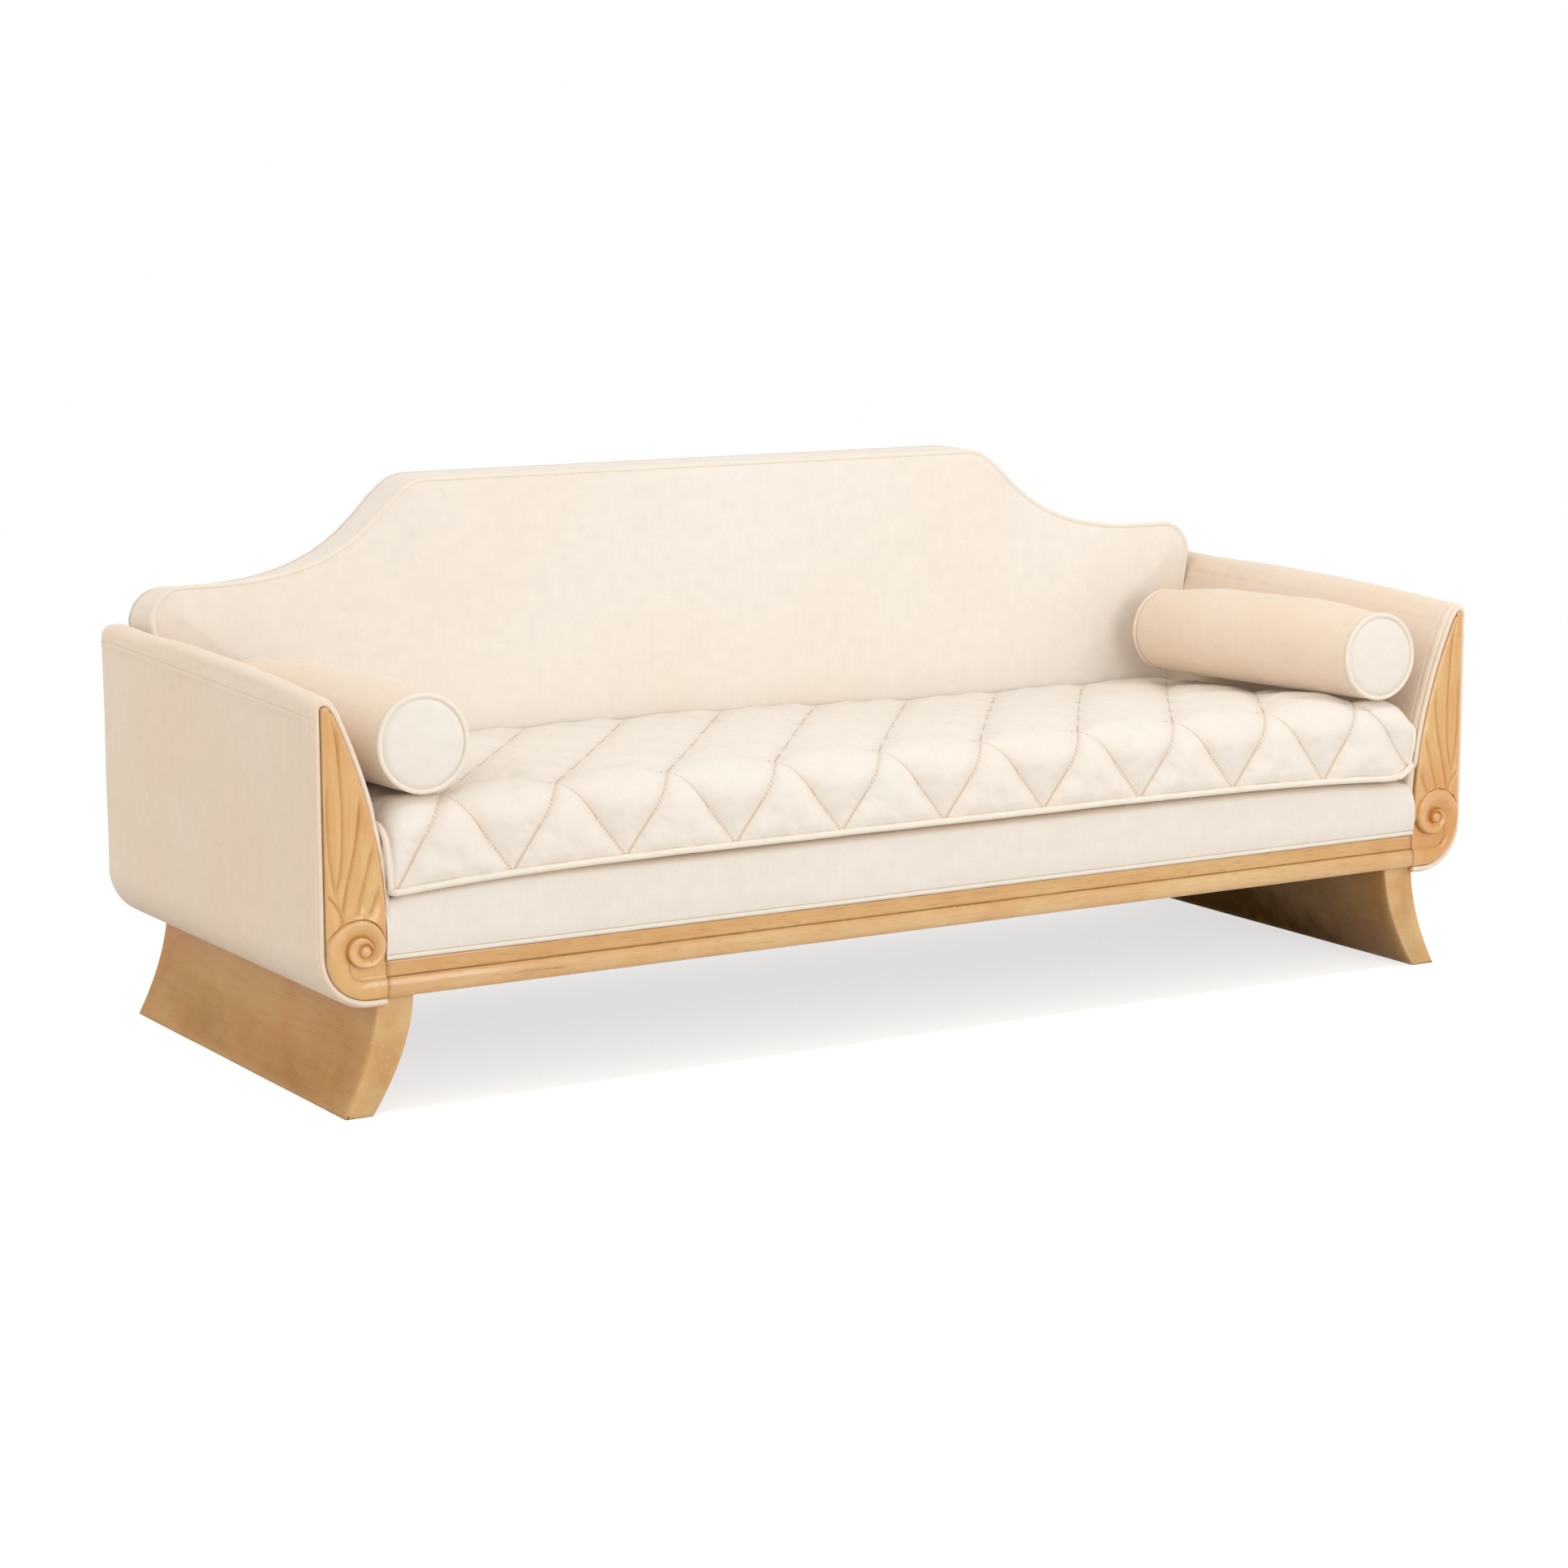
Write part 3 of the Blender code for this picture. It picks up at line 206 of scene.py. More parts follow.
# Thickness of the covers and the lining, the cushion's cords as multiples of the other welts, and the
# spacing of every cord's sections, the sides of each and how far it wanders
ARM_CLOTH = 0.0040
BACK_CLOTH = 0.0060
BOXING_CLOTH = 0.0035
LINING_CLOTH = 0.0012
BOTTOM_CORD = 1.18
END_CORD = 1.12
CORD_SPACING = 0.006
CORD_SIDES = 14
CORD_WAVE = 0.0006

# Frames of the cushion's cloth run, and how far it may move the cloth
CLOTH_FRAMES = 20
CLOTH_CAP = 0.0040

# Weave of the velvet, as rates of its streaks along x, y and z
UPRIGHT = (240.0, 240.0, 6.0)
DEEP = (240.0, 6.0, 240.0)

# Studio lamps: name, the setting of its power, place, aim, width and height, colour
LAMPS = (
    ("front_box", "front_light", (0.2, -5.4, 1.7), (0.0, 0.0, 0.45), (3.2, 3.2), (0.93, 0.97, 1.0)),
    ("left_box", "left_light", (-4.4, 1.9, 3.2), (-0.9, 0.2, 0.5), (2.6, 2.6), (0.94, 0.98, 1.0)),
    ("top_strip", "top_light", (1.3, -1.0, 3.4), (1.3, -0.3, 0.3), (3.4, 0.08), (0.95, 0.98, 1.0)),
)
# The floor's size, its glow where the camera sees it, and the distances over which it turns white
FLOOR_REACH = 60.0
FLOOR_GLOW = 0.66
FLOOR_NEAR, FLOOR_FAR = 1.9, 3.6

SIDES = (("left", -1), ("right", 1))


def length_value(label, about, value, low=0.0, high=1.0):
    return bpy.props.FloatProperty(name=label, description=about, default=value, min=low, max=high,
                                   precision=4, subtype="DISTANCE", unit="LENGTH")


def colour_value(label, about, value):
    return bpy.props.FloatVectorProperty(name=label, description=about, default=value, size=3,
                                         min=0.0, max=1.0, subtype="COLOR")


def angle_value(label, about, degrees):
    return bpy.props.FloatProperty(name=label, description=about, default=math.radians(degrees),
                                   subtype="ANGLE", unit="ROTATION")


def power_value(label, about, watts):
    return bpy.props.FloatProperty(name=label, description=about, default=watts, unit="POWER")


class SofaSizes(bpy.types.PropertyGroup):
    """Sizes of the sewn and carved detail"""

    welt_radius: length_value("Welt radius", "Radius of the covered cord in the seams", 0.0045, 0.001, 0.01)
    quilt_puff: length_value("Quilt puff", "Rise of the cushion between its stitching", 0.0095, 0.0, 0.03)
    seam_depth: length_value("Seam depth", "Depth of a plain seam in the arm covers", 0.0027, 0.0, 0.005)
    edge_ease: length_value("Eased edge", "Rounding of the wood's edges", 0.0032, 0.0005, 0.006)
    reed_depth: length_value("Reed depth", "Depth of the grooves in the carved plume", 0.0030, 0.0, 0.005)
    stitch_pitch: length_value("Stitch pitch", "Distance from one quilting stitch to the next",
                               0.0056, 0.003, 0.02)
    stitch_length: length_value("Stitch length", "Length of thread that shows in a stitch",
                                0.0034, 0.001, 0.01)
    thread_radius: length_value("Thread radius", "Radius of the quilting thread", 0.00055, 0.0001, 0.002)


class SofaColours(bpy.types.PropertyGroup):
    """Colours of the finishes"""

    velvet: colour_value("Velvet", "Pile seen from most sides", (0.850, 0.790, 0.722))
    # Painted shade: a darker, warmer copy of the velvet for the arms and bolsters, whose sides face away from
    # the front light
    velvet_shaded_side: colour_value("Side velvet", "Pile of the arms and bolsters, laid the other way",
                              (0.860, 0.706, 0.555))
    velvet_warm: colour_value("Warm patches", "Pile where it is brushed", (0.850, 0.735, 0.630))
    welt: colour_value("Welts", "Velvet on the covered cord", (0.865, 0.790, 0.690))
    # Painted shade: the colour the velvet is darkened to along its seams and creases, and in the gap under
    # the cushion's front
    fold: colour_value("Seam shade", "Pile pinched into a seam", (0.560, 0.375, 0.215))
    thread: colour_value("Thread", "Quilting thread", (0.640, 0.470, 0.300))
    maple: colour_value("Maple", "Bleached maple, most of the surface", (0.700, 0.370, 0.112))
    maple_pale: colour_value("Pale maple", "Bleached streaks in the maple", (0.730, 0.455, 0.175))
    maple_amber: colour_value("Amber varnish", "Patches where old varnish is thicker", (0.650, 0.280, 0.064))
    # Stain in the pores, the carving and the rail's joints, and painted shade on the trestles' inner faces
    # and where they meet the floor
    maple_stain_and_shade: colour_value("Stain", "Dirt in the grooves and pores", (0.230, 0.115, 0.035))
    # Rubbed edges and nicks, and painted highlights on the carving's raised rims, the rail's bead and the
    # trestles' front faces
    maple_bare_and_lit: colour_value("Bare wood", "Rubbed edges and nicks", (0.800, 0.580, 0.330))
    beech: colour_value("Frame wood", "Unseen frame timber", (0.560, 0.380, 0.190))
    jute: colour_value("Jute", "Back webbing", (0.430, 0.320, 0.180))
    steel: colour_value("Steel", "Springs and bolts", (0.460, 0.455, 0.445))
    lining: colour_value("Lining", "Dust cover under the seat", (0.030, 0.029, 0.028))
    floor: colour_value("Floor", "Studio floor", (0.650, 0.635, 0.610))


class SofaStage(bpy.types.PropertyGroup):
    """Camera and studio light"""

    camera_place: bpy.props.FloatVectorProperty(
        name="Camera", description="Where the camera stands", default=(-3.2406, -5.2979, 1.3982),
        size=3, subtype="TRANSLATION", unit="LENGTH")
    camera_yaw: angle_value("Yaw", "Turn of the camera to the right of straight back", 31.0927)
    camera_pitch: angle_value("Pitch", "Tilt of the camera below level", 9.5798)
    camera_roll: angle_value("Roll", "Roll of the camera", -0.1237)
    camera_lens: bpy.props.FloatProperty(
        name="Lens", description="Focal length on a 36 mm sensor", default=86.5, unit="CAMERA")
    front_light: power_value("Front light", "Power of the soft box in front", 101.0)
    top_light: power_value("Top light", "Power of the strip overhead", 18.0)
    left_light: power_value("Left light", "Power of the soft box behind on the left", 47.0)
    room_light: bpy.props.FloatProperty(
        name="Room light", description="Level of the light from all round", default=0.80, min=0.0, max=2.0)


def smooth(low, high, value):
    t = np.clip((value - low) / (high - low), 0.0, 1.0)
    return t * t * (3 - 2 * t)


def bell(distance, width):
    """1 at no distance, falling away smoothly over about the width."""
    return np.exp(-(distance / width) ** 2)


def quarter_round(distance, width):
    """Rise of a quarter round: 0 at an edge, 1 from the width inwards."""
    return np.sqrt(1 - (1 - np.clip(distance / width, 0, 1)) ** 2)


def unevenness(a, b, wave, seed):
    """Soft irregularity of about -1 to 1 over two coordinates, with swellings about one wave across."""
    rng = np.random.default_rng(seed)
    total = 0.0
    for _ in range(8):
        turn = rng.uniform(0, 2 * math.pi)
        rate = rng.uniform(0.6, 1.5) * 2 * math.pi / wave
        total = total + np.sin((a * math.cos(turn) + b * math.sin(turn)) * rate + rng.uniform(0, 2 * math.pi))
    return total / 5


def world(x, depth, z):
    return np.stack(np.broadcast_arrays(x, FACE_Y + depth, z), axis=-1)


def on_seat(x, y, z):
    """World points from the sloping seat's own coordinates."""
    c, s = math.cos(SEAT_SLOPE), math.sin(SEAT_SLOPE)
    return np.stack(np.broadcast_arrays(x, FACE_Y + y * c + z * s, DECK_Z - y * s + z * c), axis=-1)


def off_seat(y, z):
    """Depth and height in the sloping seat's own coordinates, from world ones."""
    c, s = math.cos(SEAT_SLOPE), math.sin(SEAT_SLOPE)
    y, z = y - FACE_Y, z - DECK_Z
    return y * c - z * s, y * s + z * c


def unit(vectors):
    return vectors / np.maximum(np.linalg.norm(vectors, axis=-1, keepdims=True), 1e-12)


def quads(rows, cols, first=0, wrap=False):
    """Faces of a grid of points kept row by row; wrap joins the last column to the first."""
    r = np.arange(rows - 1)[:, None] * cols + first
    c = np.arange(cols if wrap else cols - 1)[None, :]
    d = (c + 1) % cols
    return np.stack([r + c, r + d, r + cols + d, r + cols + c], axis=-1).reshape(-1, 4).tolist()


def grid_normals(grid):
    return unit(np.cross(np.gradient(grid, axis=1), np.gradient(grid, axis=0)))


def border(rows, cols):
    """Indices round the edge of a grid."""
    low = list(range(cols))
    right = [r * cols + cols - 1 for r in range(1, rows)]
    high = [(rows - 1) * cols + c for c in range(cols - 2, -1, -1)]
    left = [r * cols for r in range(rows - 2, 0, -1)]
    return low + right + high + left


def shell(grid, thickness=0.0, inner=None):
    """Points and faces of a sheet with its rim closed, thickened against its normals or to an inner grid."""
    rows, cols = grid.shape[:2]
    count = rows * cols
    if inner is None:
        inner = grid - grid_normals(grid) * thickness
    points = np.concatenate([grid.reshape(-1, 3), inner.reshape(-1, 3)])
    faces = quads(rows, cols) + [face[::-1] for face in quads(rows, cols, count)]
    ring = border(rows, cols)
    for a, b in zip(ring, ring[1:] + ring[:1]):
        faces.append((a, b, b + count, a + count))
    return points, faces


def slab(front, back_y):
    """Points and faces of a carved or padded front over a flat back at one world y."""
    rows, cols = front.shape[:2]
    count = rows * cols
    points = front.reshape(-1, 3)
    ring = border(rows, cols)
    rim = points[ring].copy()
    rim[:, 1] = back_y
    faces = quads(rows, cols)
    size = len(ring)
    for k in range(size):
        n = (k + 1) % size
        faces.append((ring[k], ring[n], count + n, count + k))
    faces.append(list(range(count, count + size)))
    return np.concatenate([points, rim]), faces


def tube(rings):
    """Points and faces through a row of closed rings, with both ends filled."""
    rows, cols = rings.shape[:2]
    faces = quads(rows, cols, wrap=True)
    faces.append(list(range(cols)))
    faces.append(list(range((rows - 1) * cols, rows * cols)))
    return rings.reshape(-1, 3), faces


def joined(*parts):
    """Points and faces of several parts as one mesh."""
    points, faces = [], []
    count = 0
    for part_points, part_faces in parts:
        points.append(part_points)
        faces += [tuple(k + count for k in face) for face in part_faces]
        count += len(part_points)
    return np.concatenate(points), faces


def link(item):
    bpy.context.scene.collection.objects.link(item)
    return item


def piece(name, points, faces, finish, marks=None, crease=None):
    """A closed mesh piece at the origin, with named marks on its first points for the material."""
    mesh = bpy.data.meshes.new(name)
    mesh.from_pydata(np.asarray(points).tolist(), [], faces)
    for label, values in (marks or {}).items():
        levels = np.zeros(len(points), dtype=np.float32)
        levels[:np.size(values)] = np.ravel(values)
        mesh.attributes.new(label, "FLOAT", "POINT").data.foreach_set("value", levels)
    bm = bmesh.new()
    bm.from_mesh(mesh)
    bmesh.ops.remove_doubles(bm, verts=bm.verts, dist=2e-6)
    bmesh.ops.recalc_face_normals(bm, faces=bm.faces)
    bm.to_mesh(mesh)
    bm.free()
    mesh.shade_smooth()
    if crease:
        mesh.set_sharp_from_angle(angle=math.radians(crease))
    mesh.materials.append(finish)
    return link(bpy.data.objects.new(name, mesh))


def fit(item, body, slot, *nodes):
    """Put a finished piece on its body, in place of its solids."""
    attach(item, body)
    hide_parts(*nodes)
    return item


def feed(tree, item, inputs):
    """Link or set a node's inputs, by label or number."""
    for key, value in inputs.items():
        if isinstance(value, bpy.types.NodeSocket):
            tree.links.new(value, item.inputs[key])
        else:
            item.inputs[key].default_value = value


def node(tree, kind, inputs=None, **settings):
    """A new node with its settings, then its inputs; the nodes of a tree stand in rows of six."""
    item = tree.nodes.new(kind)
    place = len(tree.nodes) - 1
    item.location = (220 * (place % 6), -320 * (place // 6))
    for key, value in settings.items():
        setattr(item, key, value)
    feed(tree, item, inputs or {})
    return item


def new_group(name, kind, inputs, outputs):
    """A new node group, its inputs and its end node; a socket has a label, a kind and maybe a default."""
    tree = bpy.data.node_groups.new(name, kind)
    for way, sockets in (("INPUT", inputs), ("OUTPUT", outputs)):
        for label, sort, *value in sockets:
            socket = tree.interface.new_socket(label, in_out=way, socket_type="NodeSocket" + sort)
            if value:
                socket.default_value = value[0]
    return tree, node(tree, "NodeGroupInput").outputs, node(tree, "NodeGroupOutput")


def ramp_value(tree, source, low, high, to_low, to_high):
    """A value stretched from one range to another, and kept in it."""
    return node(tree, "ShaderNodeMapRange", {"Value": source, "From Min": low, "From Max": high,
                                             "To Min": to_low, "To Max": to_high}).outputs["Result"]


def mix_colour(tree, blend, factor, a, b):
    mix = node(tree, "ShaderNodeMix", {}, data_type="RGBA", blend_type=blend)
    feed(tree, mix, {0: factor, 6: a, 7: b})
    return mix.outputs[2]


def combine_values(tree, operation, *values):
    return node(tree, "ShaderNodeMath", dict(enumerate(values)), operation=operation).outputs[0]


def object_place(tree):
    return node(tree, "ShaderNodeTexCoord").outputs["Object"]


def stretched(tree, coordinates, stretch):
    """Coordinates multiplied by a stretch along each axis."""
    return node(tree, "ShaderNodeVectorMath", {0: coordinates, 1: stretch}, operation="MULTIPLY").outputs[0]


def noise(tree, coordinates, scale, detail, distortion=0.0):
    return node(tree, "ShaderNodeTexNoise", {"Vector": coordinates, "Scale": scale, "Detail": detail,
                                             "Distortion": distortion}).outputs["Fac"]


def velvet_pile():
    """Shader group: brushed patches, woven streaks, the pile's own grain, and painted shade mixed in by its
    Seam input.
    """
    if "velvet_pile" in bpy.data.node_groups:
        return bpy.data.node_groups["velvet_pile"]
    tree, given, end = new_group(
        "velvet_pile", "ShaderNodeTree",
        (("Cream", "Color", (0.88, 0.79, 0.68, 1)), ("Warm", "Color", (0.86, 0.73, 0.60, 1)),
         ("Patch Scale", "Float", 2.2), ("Patch Amount", "Float", 0.6),
         ("Streak", "Vector", (260.0, 260.0, 7.0)), ("Seam", "Float", 0.0),
         ("Fold", "Color", (0.66, 0.47, 0.29, 1))),
        (("Color", "Color"), ("Roughness", "Float"), ("Height", "Float")))
    spot = object_place(tree)
    patch = ramp_value(tree, noise(tree, spot, given["Patch Scale"], 2.0), 0.36, 0.64, 0.0, 1.0)
    patch = combine_values(tree, "MULTIPLY", patch, given["Patch Amount"])
    colour = mix_colour(tree, "MIX", patch, given["Cream"], given["Warm"])
    streak = noise(tree, stretched(tree, spot, given["Streak"]), 1.0, 3.0)
    pile = noise(tree, spot, 950.0, 2.0)
    crush = noise(tree, spot, 42.0, 4.0)
    tone = ramp_value(tree, streak, 0.3, 0.7, 0.988, 1.010)
    tone = combine_values(tree, "MULTIPLY", tone, ramp_value(tree, pile, 0.3, 0.7, 0.972, 1.022))
    tone = combine_values(tree, "MULTIPLY", tone, ramp_value(tree, crush, 0.3, 0.7, 0.976, 1.018))
    shade = node(tree, "ShaderNodeCombineColor", {0: tone, 1: tone, 2: tone}).outputs[0]
    colour = mix_colour(tree, "MULTIPLY", 1.0, colour, shade)
    feed(tree, end, {"Color": mix_colour(tree, "MIX", given["Seam"], colour, given["Fold"]),
                     "Roughness": ramp_value(tree, pile, 0.3, 0.7, 0.80, 0.94),
                     "Height": combine_values(tree, "MULTIPLY_ADD", streak, 0.3, pile)})
    return tree


def maple_grain():
    """Shader group: bleached grain with pores and patches of amber varnish."""
    if "maple_grain" in bpy.data.node_groups:
        return bpy.data.node_groups["maple_grain"]
    tree, given, end = new_group(
        "maple_grain", "ShaderNodeTree",
        (*((label, "Color", (0.6, 0.4, 0.2, 1)) for label in ("Tan", "Pale", "Amber", "Pore")),
         ("Grain", "Vector", (60.0, 60.0, 3.0)), ("Amber Amount", "Float", 0.6),
         ("Pore Amount", "Float", 0.35)),
        (("Color", "Color"), ("Roughness", "Float"), ("Height", "Float")))
    spot = object_place(tree)
    grain = stretched(tree, spot, given["Grain"])
    broad = noise(tree, grain, 0.55, 4.0, 0.6)
    fine = noise(tree, grain, 4.5, 3.0)
    bands = ramp_value(tree, broad, 0.32, 0.68, 0.0, 1.0)
    colour = mix_colour(tree, "MIX", bands, given["Tan"], given["Pale"])
    amber = ramp_value(tree, noise(tree, spot, 6.5, 3.0), 0.42, 0.68, 0.0, 1.0)
    amber = combine_values(tree, "MULTIPLY", amber, given["Amber Amount"])
    colour = mix_colour(tree, "MIX", amber, colour, given["Amber"])
    pore = ramp_value(tree, fine, 0.54, 0.70, 0.0, 1.0)
    pore = combine_values(tree, "MULTIPLY", pore, given["Pore Amount"])
    feed(tree, end, {"Color": mix_colour(tree, "MIX", pore, colour, given["Pore"]),
                     "Roughness": ramp_value(tree, broad, 0.3, 0.7, 0.34, 0.46), "Height": fine})
    return tree


def rubbed_finish():
    """Shader group: stain in the carving with painted shade, rubbed edges and small nicks with painted
    highlights.
    """
    if "rubbed_finish" in bpy.data.node_groups:
        return bpy.data.node_groups["rubbed_finish"]
    tree, given, end = new_group(
        "rubbed_finish", "ShaderNodeTree",
        (("Wood", "Color", (0.6, 0.4, 0.2, 1)), ("Dirt", "Color", (0.2, 0.1, 0.03, 1)),
         ("Bare", "Color", (0.8, 0.65, 0.4, 1)), ("Groove", "Float", 0.0), ("Edge", "Float", 0.0),
         ("Grain", "Vector", (60.0, 60.0, 3.0))),
        (("Color", "Color"),))
    spot = object_place(tree)
    patchy = ramp_value(tree, noise(tree, spot, 45.0, 3.0), 0.25, 0.65, 0.65, 0.95)
    darkening = combine_values(tree, "MULTIPLY", patchy, given["Groove"])
    colour = mix_colour(tree, "MIX", darkening, given["Wood"], given["Dirt"])
    nick = noise(tree, stretched(tree, spot, given["Grain"]), 2.6, 2.0)
    nick = ramp_value(tree, nick, 0.62, 0.76, 0.0, 0.35)
    rub = ramp_value(tree, noise(tree, spot, 18.0, 2.0), 0.35, 0.70, 0.28, 0.68)
    wear_and_painted_light = combine_values(tree, "MULTIPLY", combine_values(tree, "ADD", nick, rub), given["Edge"])
    wear_and_painted_light = ramp_value(tree, wear_and_painted_light, 0.0, 1.0, 0.0, 1.0)
    feed(tree, end, {"Color": mix_colour(tree, "MIX", wear_and_painted_light, colour, given["Bare"])})
    return tree


def blank(name):
    """A material by name, and its main shader if it is new or None if it was there already."""
    if name in bpy.data.materials:
        return bpy.data.materials[name], None
    finish = bpy.data.materials.new(name)
    finish.use_nodes = True
    return finish, finish.node_tree.nodes["Principled BSDF"]


def group(tree, source, **values):
    """A shader group in a material; an underscore in a value's name stands for a space."""
    inputs = {label.replace("_", " "): value for label, value in values.items()}
    return node(tree, "ShaderNodeGroup", inputs, node_tree=source).outputs


def mark(tree, label):
    """One of the marks on a piece's points."""
    return node(tree, "ShaderNodeAttribute", attribute_name=label).outputs["Fac"]


def bump(tree, height, strength, distance):
    return node(tree, "ShaderNodeBump", {"Strength": strength, "Distance": distance,
                                         "Height": height}).outputs["Normal"]


def rgba(colour):
    return (*colour, 1.0)


def velvet(name, streak, amount=0.6, patch=2.2, cream=None):
    """Cream cotton velvet, with its weave along one direction."""
    finish, shader = blank(name)
    if shader is None:
        return finish
    colours = bpy.context.scene.sofa_colours
    tree = finish.node_tree
    # The seam mark mixes the painted shade colour into the velvet
    pile = group(tree, velvet_pile(), Cream=rgba(cream or colours.velvet), Warm=rgba(colours.velvet_warm),
                 Patch_Scale=patch, Patch_Amount=amount, Streak=streak, Seam=mark(tree, "seam"),
                 Fold=rgba(colours.fold))
    feed(tree, shader, {"Base Color": pile["Color"], "Roughness": pile["Roughness"],
                        "Specular IOR Level": 0.15, "Sheen Weight": 0.30, "Sheen Roughness": 0.45,
                        "Sheen Tint": (1.0, 0.96, 0.90, 1.0),
                        "Normal": bump(tree, pile["Height"], 0.22, 0.0006)})
    return finish


def maple(name, grain, amber=0.5, pore=0.3, tint=(1.0, 1.0, 1.0), gloss=1.0):
    """Bleached maple under old varnish, stained in its carving and rubbed at its edges, with painted shade
    and painted highlights from its marks.
    """
    finish, shader = blank(name)
    if shader is None:
        return finish
    colours = bpy.context.scene.sofa_colours
    tree = finish.node_tree
    tan, pale, varnish = (rgba([a * b for a, b in zip(tint, tone)]) for tone in
                          (colours.maple, colours.maple_pale, colours.maple_amber))
    wood = group(tree, maple_grain(), Tan=tan, Pale=pale, Amber=varnish, Pore=rgba(colours.maple_stain_and_shade),
                 Grain=grain, Amber_Amount=amber, Pore_Amount=pore)
    groove = mark(tree, "groove")
    rubbed = group(tree, rubbed_finish(), Wood=wood["Color"], Dirt=rgba(colours.maple_stain_and_shade),
                   Bare=rgba(colours.maple_bare_and_lit), Groove=groove, Edge=mark(tree, "edge"), Grain=grain)
    feed(tree, shader, {"Base Color": rubbed["Color"], "Roughness": wood["Roughness"], "Coat Roughness": 0.07,
                        "Normal": bump(tree, wood["Height"], 0.12, 0.0006)})
    for label, level in (("Specular IOR Level", 0.36 * gloss), ("Coat Weight", 0.90 * gloss)):
        feed(tree, shader, {label: combine_values(tree, "MULTIPLY_ADD", groove, -0.9 * level, level)})
    return finish


def mottled(name, colour, roughness, metallic, stretch, depth):
    """Finish of an unseen or plain part: its colour broken up by fine stretched noise."""
    finish, shader = blank(name)
    if shader is None:
        return finish
    tree = finish.node_tree
    grain = noise(tree, stretched(tree, object_place(tree), stretch), 1.0, 4.0)
    shade = ramp_value(tree, grain, 0.3, 0.7, 0.0, 1.0)
    dark = tuple(0.72 * c for c in colour)
    feed(tree, shader, {"Base Color": mix_colour(tree, "MIX", shade, rgba(dark), rgba(colour)),
                        "Roughness": ramp_value(tree, grain, 0.3, 0.7, roughness - 0.06, roughness + 0.06),
                        "Metallic": metallic, "Normal": bump(tree, grain, 0.2, depth)})
    return finish


def welt_finish():
    return velvet("welt_velvet", (320.0, 320.0, 320.0), 0.15, 3.0, bpy.context.scene.sofa_colours.welt)


def even_curve(tree, path, spacing):
    """A path of edges as a curve with evenly spaced points."""
    curve = node(tree, "GeometryNodeMeshToCurve", {"Mesh": path}).outputs["Curve"]
    return node(tree, "GeometryNodeResampleCurve", {"Curve": curve, "Length": spacing},
                mode="LENGTH").outputs["Curve"]


def cord_nodes():
    """Geometry nodes: a covered cord along a path."""
    if "welt_cord" in bpy.data.node_groups:
        return bpy.data.node_groups["welt_cord"]
    tree, given, end = new_group(
        "welt_cord", "GeometryNodeTree",
        (("Path", "Geometry"), ("Cord Radius", "Float", 0.0045), ("Spacing", "Float", CORD_SPACING),
         ("Sides", "Int", CORD_SIDES), ("Unevenness", "Float", CORD_WAVE), ("Finish", "Material")),
        (("Cord", "Geometry"),))
    line = even_curve(tree, given["Path"], given["Spacing"])
    wobble = node(tree, "ShaderNodeTexNoise", {"Scale": 22.0}).outputs["Color"]
    wobble = node(tree, "ShaderNodeVectorMath", {0: wobble, 1: (0.5, 0.5, 0.5)},
                  operation="SUBTRACT").outputs[0]
    wobble = node(tree, "ShaderNodeVectorMath", {0: wobble, "Scale": given["Unevenness"]},
                  operation="SCALE").outputs[0]
    line = node(tree, "GeometryNodeSetPosition", {"Geometry": line, "Offset": wobble}).outputs[0]
    ring = node(tree, "GeometryNodeCurvePrimitiveCircle", {"Radius": given["Cord Radius"],
                                                           "Resolution": given["Sides"]}).outputs["Curve"]
    solid = node(tree, "GeometryNodeCurveToMesh", {"Curve": line, "Profile Curve": ring,
                                                   "Fill Caps": True}).outputs["Mesh"]
    soft = node(tree, "GeometryNodeSetShadeSmooth", {"Geometry": solid}).outputs[0]
    real = node(tree, "GeometryNodeRealizeInstances", {"Geometry": soft}).outputs[0]
    paint = node(tree, "GeometryNodeSetMaterial", {"Geometry": real, "Material": given["Finish"]}).outputs[0]
    feed(tree, end, {"Cord": paint})
    return tree


def stitch_nodes():
    """Geometry nodes: a row of separate stitches along a path."""
    tree, given, end = new_group(
        "stitch_row", "GeometryNodeTree",
        (("Path", "Geometry"), ("Pitch", "Float", 0.005), ("Stitch Length", "Float", 0.003),
         ("Thread Radius", "Float", 0.0005), ("Thread", "Material")),
        (("Stitches", "Geometry"),))
    line = even_curve(tree, given["Path"], given["Pitch"])
    along = node(tree, "GeometryNodeInputTangent").outputs["Tangent"]
    turn = node(tree, "FunctionNodeAlignRotationToVector", {"Vector": along}, axis="Z").outputs["Rotation"]
    bead = node(tree, "GeometryNodeMeshUVSphere", {"Segments": 5, "Rings": 4, "Radius": 1.0}).outputs["Mesh"]
    half = combine_values(tree, "MULTIPLY", given["Stitch Length"], 0.5)
    size = node(tree, "ShaderNodeCombineXYZ", {"X": given["Thread Radius"], "Y": given["Thread Radius"],
                                               "Z": half}).outputs[0]
    sew = node(tree, "GeometryNodeInstanceOnPoints", {"Points": line, "Instance": bead, "Rotation": turn,
                                                      "Scale": size}).outputs["Instances"]
    real = node(tree, "GeometryNodeRealizeInstances", {"Geometry": sew}).outputs[0]
    soft = node(tree, "GeometryNodeSetShadeSmooth", {"Geometry": real}).outputs[0]
    paint = node(tree, "GeometryNodeSetMaterial", {"Geometry": soft, "Material": given["Thread"]}).outputs[0]
    feed(tree, end, {"Stitches": paint})
    return tree


